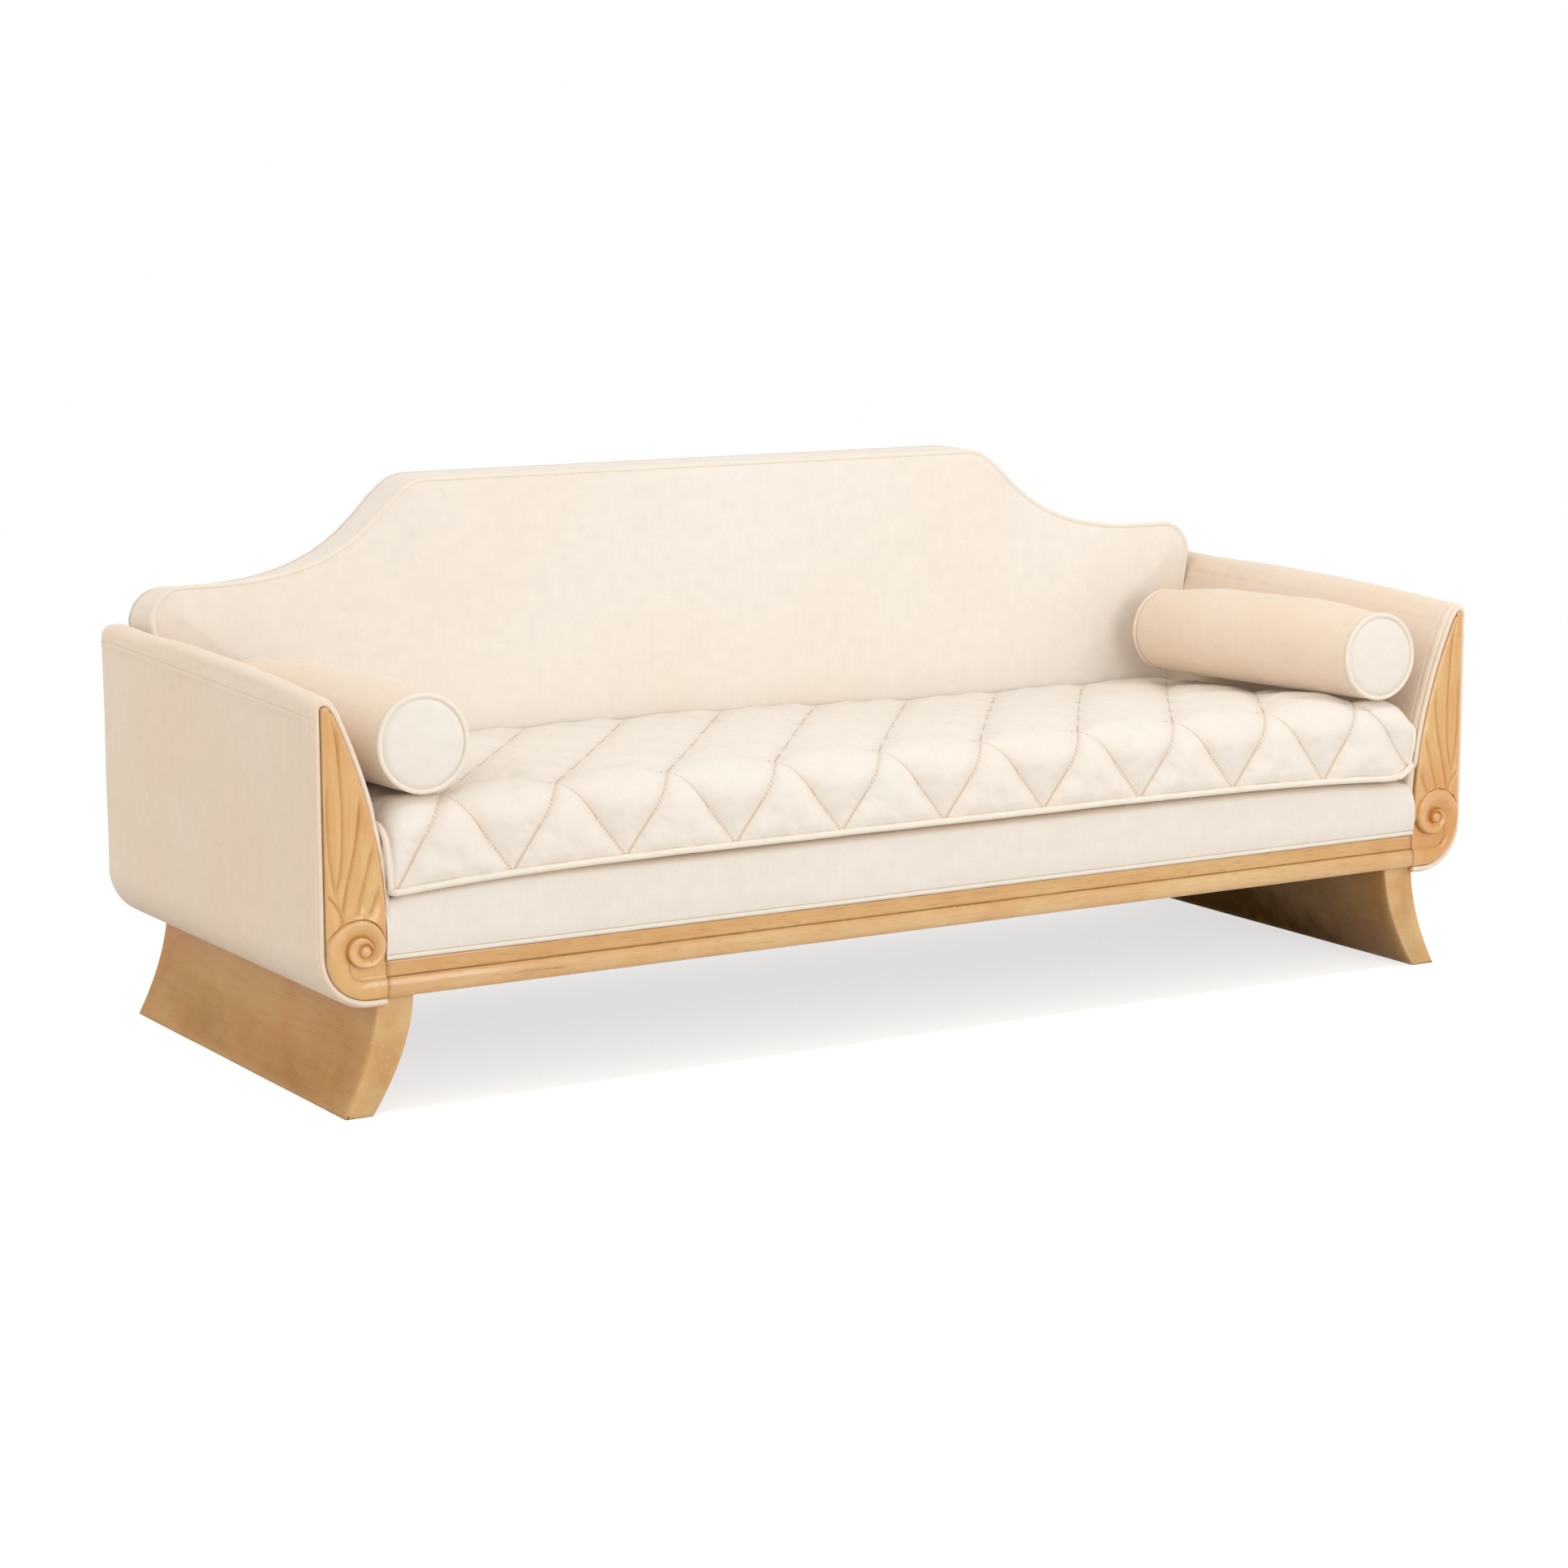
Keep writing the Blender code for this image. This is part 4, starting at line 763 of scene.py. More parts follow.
def grown(name, tree, paths, closed, values):
    """The plain mesh that a tree of geometry nodes makes along paths of points."""
    base = bpy.data.meshes.new(name + "_path")
    points, edges = [], []
    for path in paths:
        first = len(points)
        points += np.asarray(path).tolist()
        edges += [(first + k, first + k + 1) for k in range(len(path) - 1)]
        if closed:
            edges.append((len(points) - 1, first))
    base.from_pydata(points, edges, [])
    carrier = bpy.data.objects.new(name + "_path", base)
    step = carrier.modifiers.new("nodes", "NODES")
    step.node_group = tree
    for item in tree.interface.items_tree:
        if item.item_type == "SOCKET" and item.in_out == "INPUT" and item.name in values:
            step[item.identifier] = values[item.name]
    link(carrier)
    graph = bpy.context.evaluated_depsgraph_get()
    mesh = bpy.data.meshes.new_from_object(carrier.evaluated_get(graph), depsgraph=graph)
    mesh.name = name
    carrier.modifiers.clear()
    bpy.data.objects.remove(carrier)
    bpy.data.meshes.remove(base)
    if len(mesh.polygons) == 0:
        raise RuntimeError(f"{name}: the nodes made nothing")
    return link(bpy.data.objects.new(name, mesh))


def welt(name, path, body, node_name, radius=None, closed=False, finish=None):
    """A covered cord on its body, in place of the solid of the same seam."""
    sizes = bpy.context.scene.sofa_sizes
    values = {"Cord Radius": radius or sizes.welt_radius, "Spacing": CORD_SPACING,
              "Sides": CORD_SIDES, "Unevenness": CORD_WAVE, "Finish": finish or welt_finish()}
    item = grown(name, cord_nodes(), [path], closed, values)
    return fit(item, body, "welt", node_name)


def arm_rise(depth):
    """How far the arm's tip has risen: none at the facing, most near the rear, where it rounds over."""
    rise = ARM_REAR_RISE * max(0.0, depth - FACING_BACK) / (FRAME_REAR - FACING_BACK)
    return rise - ARM_REAR_ROUND * float(smooth(FRAME_REAR - 0.050, FRAME_REAR, depth)) ** 2


def inner_edge(z, rise=0.0):
    """Inner edge of an arm's wood at heights z, and its slope."""
    tall = TIP_Z + rise - SWEEP_Z
    share = np.clip((z - SWEEP_Z) / tall, 0.0, 1.0)
    return WOOD_IN + FLARE * share ** 2, 2 * FLARE * share / tall


def arm_section(rise, foot_x, stop_z):
    """Arm section from its underside, round the outer side and the tip, to the inner side's foot.

    Gives points and outward normals of the wood, in x and z.
    """
    points, normals = [], []

    def add(x, z, nx, nz):
        for values in zip(*np.broadcast_arrays(x, z, nx, nz)):
            points.append(values[:2])
            normals.append(values[2:])

    corner_x, corner_z = WOOD_OUT - CORNER, LEG_Z + CORNER
    tip_x, tip_z = WOOD_OUT - TIP_ROUND, TIP_Z + rise - TIP_ROUND
    add(np.linspace(foot_x, corner_x, 5)[:-1], LEG_Z, 0.0, -1.0)
    a = np.radians(np.linspace(-90, 0, 25))
    add(corner_x + CORNER * np.cos(a), corner_z + CORNER * np.sin(a), np.cos(a), np.sin(a))
    seam = TIP_Z + rise - ARM_SEAM
    close = seam + 0.009 * np.linspace(-1, 1, 21)
    heights = [np.linspace(corner_z, close[0], 60)[1:-1], close, np.linspace(close[-1], tip_z, 6)[1:-1]]
    add(WOOD_OUT, np.concatenate(heights), 1.0, 0.0)
    a = np.radians(np.linspace(0, 148, 19))
    add(tip_x + TIP_ROUND * np.cos(a), tip_z + TIP_ROUND * np.sin(a), np.cos(a), np.sin(a))
    z = np.linspace(SWEEP_Z + 0.96 * (TIP_Z + rise - SWEEP_Z), max(stop_z, SWEEP_Z), 80)
    x, slope = inner_edge(z, rise)
    size = np.hypot(1.0, slope)
    add(x, z, -1.0 / size, slope / size)
    if stop_z < SWEEP_Z:
        add(WOOD_IN, np.linspace(SWEEP_Z, stop_z, 8)[1:], -1.0, 0.0)
    return np.array(points), np.array(normals)


def run_length(path):
    """Distance along a path up to each of its points."""
    steps = np.linalg.norm(np.diff(path, axis=0), axis=1)
    return np.concatenate([[0.0], np.cumsum(steps)])


def evenly(path, count):
    """The same path in a plane as evenly spaced points."""
    reach = run_length(path)
    at = np.linspace(0, 1, count) * reach[-1]
    return np.stack([np.interp(at, reach, path[:, k]) for k in range(2)], axis=1)


def path_normals(path):
    """Unit normals on the right of a path in a plane."""
    lead = np.gradient(path, axis=0)
    return unit(np.stack([lead[:, 1], -lead[:, 0]], axis=1))


def eased_path(knots, count):
    """A smooth path through knots."""
    knots = np.array(knots)
    padded = np.concatenate([[2 * knots[0] - knots[1]], knots, [2 * knots[-1] - knots[-2]]])
    t = np.linspace(0, len(knots) - 1 - 1e-6, count)
    k = t.astype(int)
    f = (t - k)[:, None]
    a, b, c, d = (padded[k + n] for n in range(4))
    bend = (2 * a - 5 * b + 4 * c - d) * f ** 2 + (3 * b - a - 3 * c + d) * f ** 3
    return 0.5 * (2 * b + (c - a) * f + bend)


def away_from(x, z, path):
    """Distance from points to a path, and the share of the path at the nearest place."""
    best = np.full(x.shape, 1e9)
    share = np.zeros(x.shape)
    for k, (px, pz) in enumerate(path):
        gap = np.hypot(x - px, z - pz)
        near = gap < best
        best = np.where(near, gap, best)
        share = np.where(near, k / (len(path) - 1), share)
    return best, share


def volute_reach(turn, table):
    """Reach of a volute's boundary at a turn, smoothly between the places of its table."""
    degrees = np.arange(-180, 1101)
    reach = np.interp(degrees, [d for d, _ in table], [r / 1000 for _, r in table])
    width = 21
    reach = np.convolve(np.pad(reach, width // 2, mode="edge"), np.ones(width) / width, mode="valid")
    return np.interp(np.degrees(turn), degrees, reach)


def rolled(t, peak):
    """Section of a carved band: from nothing at t = 0 up to 1 at the peak and back to nothing at 1."""
    rising = np.sin(0.5 * math.pi * np.clip(t / peak, 0, 1))
    falling = np.cos(0.5 * math.pi * np.clip((t - peak) / (1 - peak), 0, 1))
    return np.where(t < peak, rising, falling ** 0.7)


def bead_fall(t):
    """Fall of the rounded bead from its flat face, at shares of its height."""
    return -BEAD_DEPTH * (1 - np.sqrt(np.clip(1 - (2 * t - 1) ** 2, 0, 1)))


def carve(x, z, edge, name):
    """Relief of a facing over its flat face, and marks for its grooves; edge is the way to the outline."""
    sizes = bpy.context.scene.sofa_sizes
    (inset, height), table = VOLUTES[name]
    dx, dz = x - (WOOD_OUT - inset), z - (LEG_Z + height)
    r = np.hypot(dx, dz)
    turn = np.arctan2(dz, dx)
    turn = np.where(turn < VOLUTE_START, turn + 2 * math.pi, turn)
    inner = np.maximum(volute_reach(turn + 2 * math.pi, table), EYE)
    outer = np.where(turn >= 0, volute_reach(turn, table), 1.0)
    bead_line = (height - BEAD_HEIGHT) / np.maximum(-np.sin(turn), 0.2)
    bead_share = np.where(turn < 0, 1 - smooth(math.radians(-85), math.radians(-30), turn), 0.0)
    floor = inner + (np.maximum(bead_line, inner) - inner) * bead_share
    to_rim = np.where(turn >= 0, np.minimum(outer - r, np.where(turn < 0.6, edge + 0.002, 1.0)), edge)
    across = (r - floor) / np.maximum(r - floor + np.maximum(to_rim, 0), 1e-6)
    lean = smooth(math.radians(-88), math.radians(30), turn)
    scroll = VOLUTE_RELIEF * rolled(across, 0.80) - 0.0008
    band = bead_fall(across) * (1 - lean) + scroll * lean
    core = np.clip((r - EYE) / np.maximum(inner - EYE, 1e-4), 0, 1)
    coil = 0.0014 + 0.75 * VOLUTE_RELIEF * rolled(core, 0.75) * smooth(0.0, 0.004, inner - EYE)
    eye = 0.0022 + 0.70 * VOLUTE_RELIEF * np.sqrt(np.clip(1 - (r / EYE) ** 2, 0, 1))
    plume, groove = carve_plume(x, z, edge, sizes.reed_depth)
    joint = np.where(z < LEG_Z + BEAD_HEIGHT, bead_fall((z - LEG_Z) / BEAD_HEIGHT), -BEAD_DEPTH)
    below = (turn > 0.8 * math.pi) * smooth(0.004, -0.010, dz)
    ground = plume * (1 - below) + joint * below
    relief = np.where(r < floor, -BEAD_DEPTH * np.sqrt(bead_share), band)
    relief = np.where(r <= inner, coil, relief)
    relief = np.where(r <= EYE, eye, relief)
    relief = np.where(r > outer, ground, relief)
    rim = np.minimum(np.abs(r - inner), np.abs(r - outer))
    cut = bell(rim, 0.0010) * (r < outer + 0.003)
    cut = np.maximum(cut, 0.5 * bell(r - EYE, 0.0010) * (r < inner - 0.002))
    cut = np.maximum(cut, bead_share * bell(r - floor, 0.0011))
    cut = np.maximum(cut, below * (r > outer) * bell(z - LEG_Z - BEAD_HEIGHT, 0.0011))
    return relief, np.maximum(groove * (r > outer) * (1 - below), 0.46 * cut)


def carve_plume(x, z, edge, depth):
    """The reeded plume over a volute: its relief and the marks of its grooves."""
    relief = np.zeros(x.shape)
    groove = np.zeros(x.shape)
    nearest = edge + 0.002
    for weight, knots in PLUME:
        path = eased_path([(WOOD_OUT - a, LEG_Z + b) for a, b in knots], 120)
        gap, share = away_from(x, z, path)
        strength = (0.5 + 0.5 * smooth(0.0, 0.10, share)) * (1 - 0.85 * smooth(0.75, 1.0, share))
        valley = np.clip(1 - gap / 0.0042, 0, 1) ** 1.5
        relief = np.minimum(relief, -depth * strength * valley)
        groove = np.maximum(groove, 0.78 * weight * strength * bell(gap, 0.0010))
        nearest = np.minimum(nearest, gap + 0.006 * (1 - strength))
    return relief + 0.0036 * (1 - bell(nearest, 0.0105)), groove


def facing_limits(z, grow=0.0, rise=0.0):
    """Inner and outer edge of an arm's outline at heights z, grown outwards."""
    x, slope = inner_edge(z, rise)
    inner = x - grow * np.hypot(1.0, slope)
    corner_x, corner_z = WOOD_OUT - CORNER, LEG_Z + CORNER
    tip_x, tip_z = WOOD_OUT - TIP_ROUND, TIP_Z + rise - TIP_ROUND
    bend = CORNER + grow
    low = np.clip((corner_z - z) / bend, 0, 1)
    outer = np.where(z < corner_z, corner_x + bend * np.sqrt(1 - low ** 2), WOOD_OUT + grow)
    tip = TIP_ROUND + grow
    high = np.clip((z - tip_z) / tip, 0, 1)
    reach = tip * np.sqrt(1 - high ** 2)
    outer = np.where(z > tip_z, tip_x + reach, outer)
    inner = np.where(z > tip_z - 0.3 * tip, np.maximum(inner, tip_x - reach), inner)
    return np.minimum(inner, outer), outer


def outline_rows(grow, rise, step):
    """Heights of the rows across an arm's outline, close together where it bends."""
    bend, tip = CORNER + grow, TIP_ROUND + grow
    low = LEG_Z + CORNER - bend * np.cos(np.radians(np.linspace(0, 60, 26)))
    high = TIP_Z + rise - TIP_ROUND + tip * np.sin(np.radians(np.linspace(0, 90, 14)))
    count = int((high[0] - low[-1]) / step)
    middle = np.linspace(low[-1], high[0], count + 2)[1:-1]
    return np.concatenate([low, middle, high])


def edge_spread(count, crowd):
    """Shares from 0 to 1, crowded towards both ends."""
    k = np.linspace(0, 1, count)
    return (1 - crowd) * k + crowd * (0.5 - 0.5 * np.cos(math.pi * k))


def outline_grid(step, columns, crowd, grow=0.0, rise=0.0):
    """Points over an arm's outline, grown outwards: their x and z."""
    z = outline_rows(grow, rise, step)[:, None]
    inner, outer = facing_limits(z, grow, rise)
    x = inner + (outer - inner) * edge_spread(columns, crowd)[None, :]
    return x, np.broadcast_to(z, x.shape)


def swept(section, x):
    """A section of depths and heights repeated at places across the sofa: x, depth and z."""
    wide = np.broadcast_to(x[:, None], (len(x), len(section)))
    return wide, *(np.broadcast_to(section[:, k], wide.shape).copy() for k in range(2))


class SOFA_OT_stage(bpy.types.Operator):
    """Set the camera, the studio light and the white floor"""

    bl_idname = "sofa.stage"
    bl_label = "Stage"

    def execute(self, context):
        stage = context.scene.sofa_stage
        context.scene.view_settings.view_transform = "Standard"
        self.camera(context, stage)
        self.lights(stage)
        self.room(context, stage)
        self.floor(context)
        return {"FINISHED"}

    def camera(self, context, stage):
        yaw, pitch, roll = stage.camera_yaw, stage.camera_pitch, stage.camera_roll
        ahead = Vector((math.sin(yaw) * math.cos(pitch), math.cos(yaw) * math.cos(pitch), -math.sin(pitch)))
        right = Vector((math.cos(yaw), -math.sin(yaw), 0.0))
        up = right.cross(ahead)
        turned = right * math.cos(roll) + up * math.sin(roll)
        raised = up * math.cos(roll) - right * math.sin(roll)
        data = bpy.data.cameras.new("camera")
        data.lens = stage.camera_lens
        data.sensor_width = 36.0
        data.clip_end = 200.0
        camera = link(bpy.data.objects.new("camera", data))
        place = Matrix((turned, raised, -ahead)).transposed().to_4x4()
        place.translation = Vector(stage.camera_place)
        camera.matrix_world = place
        context.scene.camera = camera

    def lights(self, stage):
        for name, power, place, aim, size, colour in LAMPS:
            data = bpy.data.lights.new(name, "AREA")
            data.shape = "RECTANGLE"
            data.size, data.size_y = size
            data.energy = getattr(stage, power)
            data.color = colour
            lamp = link(bpy.data.objects.new(name, data))
            lamp.location = place
            lamp.rotation_euler = (Vector(aim) - Vector(place)).to_track_quat("-Z", "Y").to_euler()
            lamp.visible_camera = False

    def seen(self, tree):
        """1 for rays that show the background: from the camera, a gloss or glass."""
        path = node(tree, "ShaderNodeLightPath").outputs
        both = combine_values(tree, "ADD", path["Is Camera Ray"], path["Is Glossy Ray"])
        full = combine_values(tree, "ADD", both, path["Is Transmission Ray"])
        return combine_values(tree, "MINIMUM", full, 1.0)

    def room(self, context, stage):
        room = bpy.data.worlds.new("studio")
        room.use_nodes = True
        tree = room.node_tree
        light = tree.nodes["Background"]
        feed(tree, light, {"Color": (1.0, 0.965, 0.92, 1.0), "Strength": stage.room_light})
        white = node(tree, "ShaderNodeBackground", {"Color": (1.0, 1.0, 1.0, 1.0)}).outputs[0]
        choose = node(tree, "ShaderNodeMixShader", {0: self.seen(tree), 1: light.outputs[0], 2: white})
        feed(tree, tree.nodes["World Output"], {"Surface": choose.outputs[0]})
        context.scene.world = room

    def floor(self, context):
        finish = bpy.data.materials.new("studio_floor")
        finish.use_nodes = True
        tree = finish.node_tree
        tree.nodes.remove(tree.nodes["Principled BSDF"])
        colour = rgba(context.scene.sofa_colours.floor)
        paint = node(tree, "ShaderNodeBsdfDiffuse", {"Color": colour}).outputs[0]
        glow = node(tree, "ShaderNodeEmission", {"Strength": FLOOR_GLOW}).outputs[0]
        lifted = node(tree, "ShaderNodeAddShader", {0: paint, 1: glow}).outputs[0]
        away = node(tree, "ShaderNodeVectorMath", {0: object_place(tree)}, operation="LENGTH")
        far = ramp_value(tree, away.outputs["Value"], FLOOR_NEAR, FLOOR_FAR, 0.0, 1.0)
        white = node(tree, "ShaderNodeEmission").outputs[0]
        faded = node(tree, "ShaderNodeMixShader", {0: far, 1: lifted, 2: white}).outputs[0]
        choose = node(tree, "ShaderNodeMixShader", {0: self.seen(tree), 1: paint, 2: faded})
        feed(tree, tree.nodes["Material Output"], {"Surface": choose.outputs[0]})
        mesh = bpy.data.meshes.new("studio_floor")
        corners = [(-1, -1), (1, -1), (1, 1), (-1, 1)]
        mesh.from_pydata([(FLOOR_REACH * x, FLOOR_REACH * y, 0) for x, y in corners], [], [(0, 1, 2, 3)])
        mesh.materials.append(finish)
        link(bpy.data.objects.new("studio_floor", mesh))


class SOFA_OT_carve_facings(bpy.types.Operator):
    """Carve the two arm facings: a volute that grows from the rail's bead, and a reeded plume"""

    bl_idname = "sofa.carve_facings"
    bl_label = "Carve facings"

    def execute(self, context):
        ease = context.scene.sofa_sizes.edge_ease
        x, z = outline_grid(0.0008, 150, 0.25)
        path, _ = arm_section(0.0, WOOD_IN, RAIL_TOP)
        rim = evenly(np.concatenate([[(WOOD_IN, LEG_Z)], path]), 420)
        edge, _ = away_from(x, z, rim)
        finish = maple("carved_maple", (90.0, 90.0, 6.0), 0.75, 0.10)
        for name, side in SIDES:
            relief, groove = carve(x, z, edge, name)
            relief = relief - ease * (1 - quarter_round(edge, ease))
            relief = relief + 0.00018 * unevenness(x, z, 0.030, 5)
            # Rubbed wear along the outline, and a painted highlight where the carving stands highest
            wear_and_painted_light = bell(edge, 0.0022) + 0.6 * np.clip((relief - 0.0050) / 0.002, 0, 1)
            groove = np.maximum(groove, 0.7 * bell(edge, 0.0008))
            points, faces = slab(world(side * x, -relief, z), FACE_Y + FACING_BACK)
            marks = {"groove": groove, "edge": np.clip(wear_and_painted_light, 0, 1)}
            item = piece(f"facing_{name}", points, faces, finish, marks, 50)
            fit(item, "frame", "show_wood", f"arm_facing_{name}")
        return {"FINISHED"}


class SOFA_OT_shape_rail(bpy.types.Operator):
    """Shape the front rail: a rounded bead under a flat band"""

    bl_idname = "sofa.shape_rail"
    bl_label = "Front rail"

    def execute(self, context):
        a = np.radians(np.linspace(-88, 80, 25))
        mid = LEG_Z + BEAD_HEIGHT / 2
        section = [(RAIL_BACK, LEG_Z), (0.020, LEG_Z), (BEAD_DEPTH + 0.002, LEG_Z)]
        arc = slice(len(section), len(section) + len(a))
        section += list(zip(BEAD_DEPTH * (1 - np.cos(a)), mid + BEAD_HEIGHT / 2 * np.sin(a)))
        band = np.linspace(LEG_Z + BEAD_HEIGHT, RAIL_TOP - 0.0012, 9)
        section += [(BEAD_DEPTH, z) for z in band]
        section += [(BEAD_DEPTH + 0.0004, RAIL_TOP - 0.0004), (BEAD_DEPTH + 0.0012, RAIL_TOP)]
        section += [(RAIL_REBATE, RAIL_TOP), (RAIL_REBATE, SPRING_Z)]
        section += [(RAIL_BACK, SPRING_Z - (RAIL_BACK - RAIL_REBATE) * SEAT_FALL)]
        section = np.array(section)
        back, up = section.T
        half = WOOD_IN - GAP
        x = np.concatenate([[-half, -half + 0.0006], np.linspace(-half + 0.008, half - 0.008, 260),
                            [half - 0.0006, half]])
        wide, depth, z = swept(section, x)
        on_bead = (back < BEAD_DEPTH) & (up < LEG_Z + BEAD_HEIGHT)
        depth += np.where(on_bead, 0.00025 * unevenness(wide, z, 0.16, 3), 0.0)
        depth[[0, -1]] += np.where(back < RAIL_REBATE, 0.0006, 0.0)
        turn = np.full(len(section), 9.0)
        turn[arc] = np.abs(a)
        # Painted highlight: a pale band along the front of the bead; the rail's top edge is rubbed
        wear_and_painted_light = np.where(on_bead, 0.6 * bell(turn - 0.35, 0.5), 0.0)
        wear_and_painted_light = np.maximum(wear_and_painted_light, 0.7 * bell(up - RAIL_TOP, 0.0012))
        darkening = bell(up - LEG_Z - BEAD_HEIGHT, 0.0009) * (back <= BEAD_DEPTH)
        darkening = np.maximum(darkening, 0.7 * bell(up - RAIL_TOP, 0.0007))
        ends = bell(half - np.abs(x), 0.0012)[:, None]
        scuff = np.exp(-((wide - SCUFF_X) / 0.042) ** 4 - ((z - LEG_Z - SCUFF_HEIGHT) / 0.0019) ** 2)
        scuff = scuff * on_bead * np.clip(0.60 + 0.60 * unevenness(wide, 4 * z, 0.020, 9), 0, 1)
        darkening = np.maximum(np.maximum(darkening[None, :], 0.8 * ends), scuff)
        marks = {"edge": np.broadcast_to(wear_and_painted_light, depth.shape), "groove": darkening}
        points, faces = tube(world(wide, depth, z))
        finish = maple("rail_maple", (9.0, 80.0, 95.0), 0.6, 0.34, (0.92, 0.91, 0.90))
        item = piece("front_rail_bead", points, faces, finish, marks, 42)
        fit(item, "frame", "show_wood", "front_rail")
        return {"FINISHED"}


def inset_ring(outline, distance):
    """Move a closed outline inwards; it runs counter-clockwise."""
    before = np.roll(outline, 1, axis=0)
    after = np.roll(outline, -1, axis=0)
    normal_a, normal_b = (np.stack([-lead[:, 1], lead[:, 0]], axis=1)
                          for lead in (unit(outline - before), unit(after - outline)))
    middle = unit(normal_a + normal_b)
    reach = distance / np.maximum((middle * normal_a).sum(axis=1), 0.4)
    return outline + middle * reach[:, None]


class SOFA_OT_shape_trestles(bpy.types.Operator):
    """Shape the two curved plank trestles, with eased edges"""

    bl_idname = "sofa.shape_trestles"
    bl_label = "Trestles"

    def execute(self, context):
        ease = context.scene.sofa_sizes.edge_ease
        top_out = WOOD_IN + TRESTLE_SET
        foot_in = FOOT_OUT - FOOT_THICK
        heights = np.concatenate([np.linspace(TRESTLE_TOP, 0.004, 40), [0.0025, 0.0013, 0.0005, 0.0]])
        share = ((TRESTLE_TOP - heights) / TRESTLE_TOP) ** TRESTLE_BEND
        ease_foot = FOOT_EASE * (1 - quarter_round(heights, FOOT_EASE))
        outer = np.stack([top_out + (FOOT_OUT - top_out) * share - ease_foot, heights], axis=1)
        inner = np.stack([TRESTLE_IN + (foot_in - TRESTLE_IN) * share + ease_foot, heights], axis=1)
        foot = np.linspace(outer[-1], inner[-1], 8)[1:-1]
        head = np.linspace(inner[0], outer[0], 8)[1:-1]
        outline = np.concatenate([outer, foot, inner[::-1], head])[::-1]
        steps = np.radians(np.linspace(0, 90, 7))
        turns = [(ease * (1 - math.sin(a)), ease * (1 - math.cos(a))) for a in steps]
        stations = [(draw, TRESTLE_FRONT + back) for draw, back in turns]
        stations += [(0.0, y) for y in np.linspace(TRESTLE_FRONT + 0.012, FRAME_REAR - 0.012, 60)]
        stations += [(draw, FRAME_REAR - back) for draw, back in turns[::-1]]
        rings = [(inset_ring(outline, draw) if draw > 0 else outline, y) for draw, y in stations]
        # Painted light: the front face is made paler; the plank's foot is rubbed paler too
        front_edge = bell(np.array([y for _, y in stations]) - TRESTLE_FRONT, 0.004)
        wear_and_painted_light = np.maximum(front_edge[:, None], 0.5 * bell(outline[:, 1], 0.006))
        inner_side = np.zeros(len(outline))
        inner_side[len(head):len(head) + len(inner)] = 1.0
        finish = maple("trestle_maple", (70.0, 3.2, 70.0), 0.6, 0.25, (0.86, 0.81, 0.73), 0.30)
        for name, side in SIDES:
            grid = np.stack([world(side * ring[:, 0], y, ring[:, 1]) for ring, y in rings])
            grid[..., 0] += 0.0004 * unevenness(grid[..., 1], grid[..., 2], 0.22, 11 + side)
            y, z = grid[..., 1], grid[..., 2]
            # Darker in blotches towards the floor; painted shade over the inner face, deeper towards the rear
            # under the seat; and a painted shade line where the plank meets the floor
            blotch = 0.36 + 0.22 * unevenness(y, 1.6 * z, 0.30, 13) + 0.08 * unevenness(y, z, 0.07, 14)
            deep = smooth(TRESTLE_FRONT, TRESTLE_FRONT + 0.45, y - FACE_Y)
            low_darkening_and_inner_shade = np.clip(blotch, 0, 1) * smooth(0.17, 0.02, z) + (0.22 + 0.62 * deep) * inner_side
            behind = smooth(TRESTLE_FRONT + 0.004, TRESTLE_FRONT + 0.02, y - FACE_Y)
            darkening = np.maximum(low_darkening_and_inner_shade * behind, 0.8 * bell(z, 0.0045))
            points, faces = tube(grid)
            item = piece(f"trestle_plank_{name}", points, faces, finish, {"edge": wear_and_painted_light, "groove": darkening}, 45)
            fit(item, "frame", "show_wood", f"trestle_{name}")
        return {"FINISHED"}


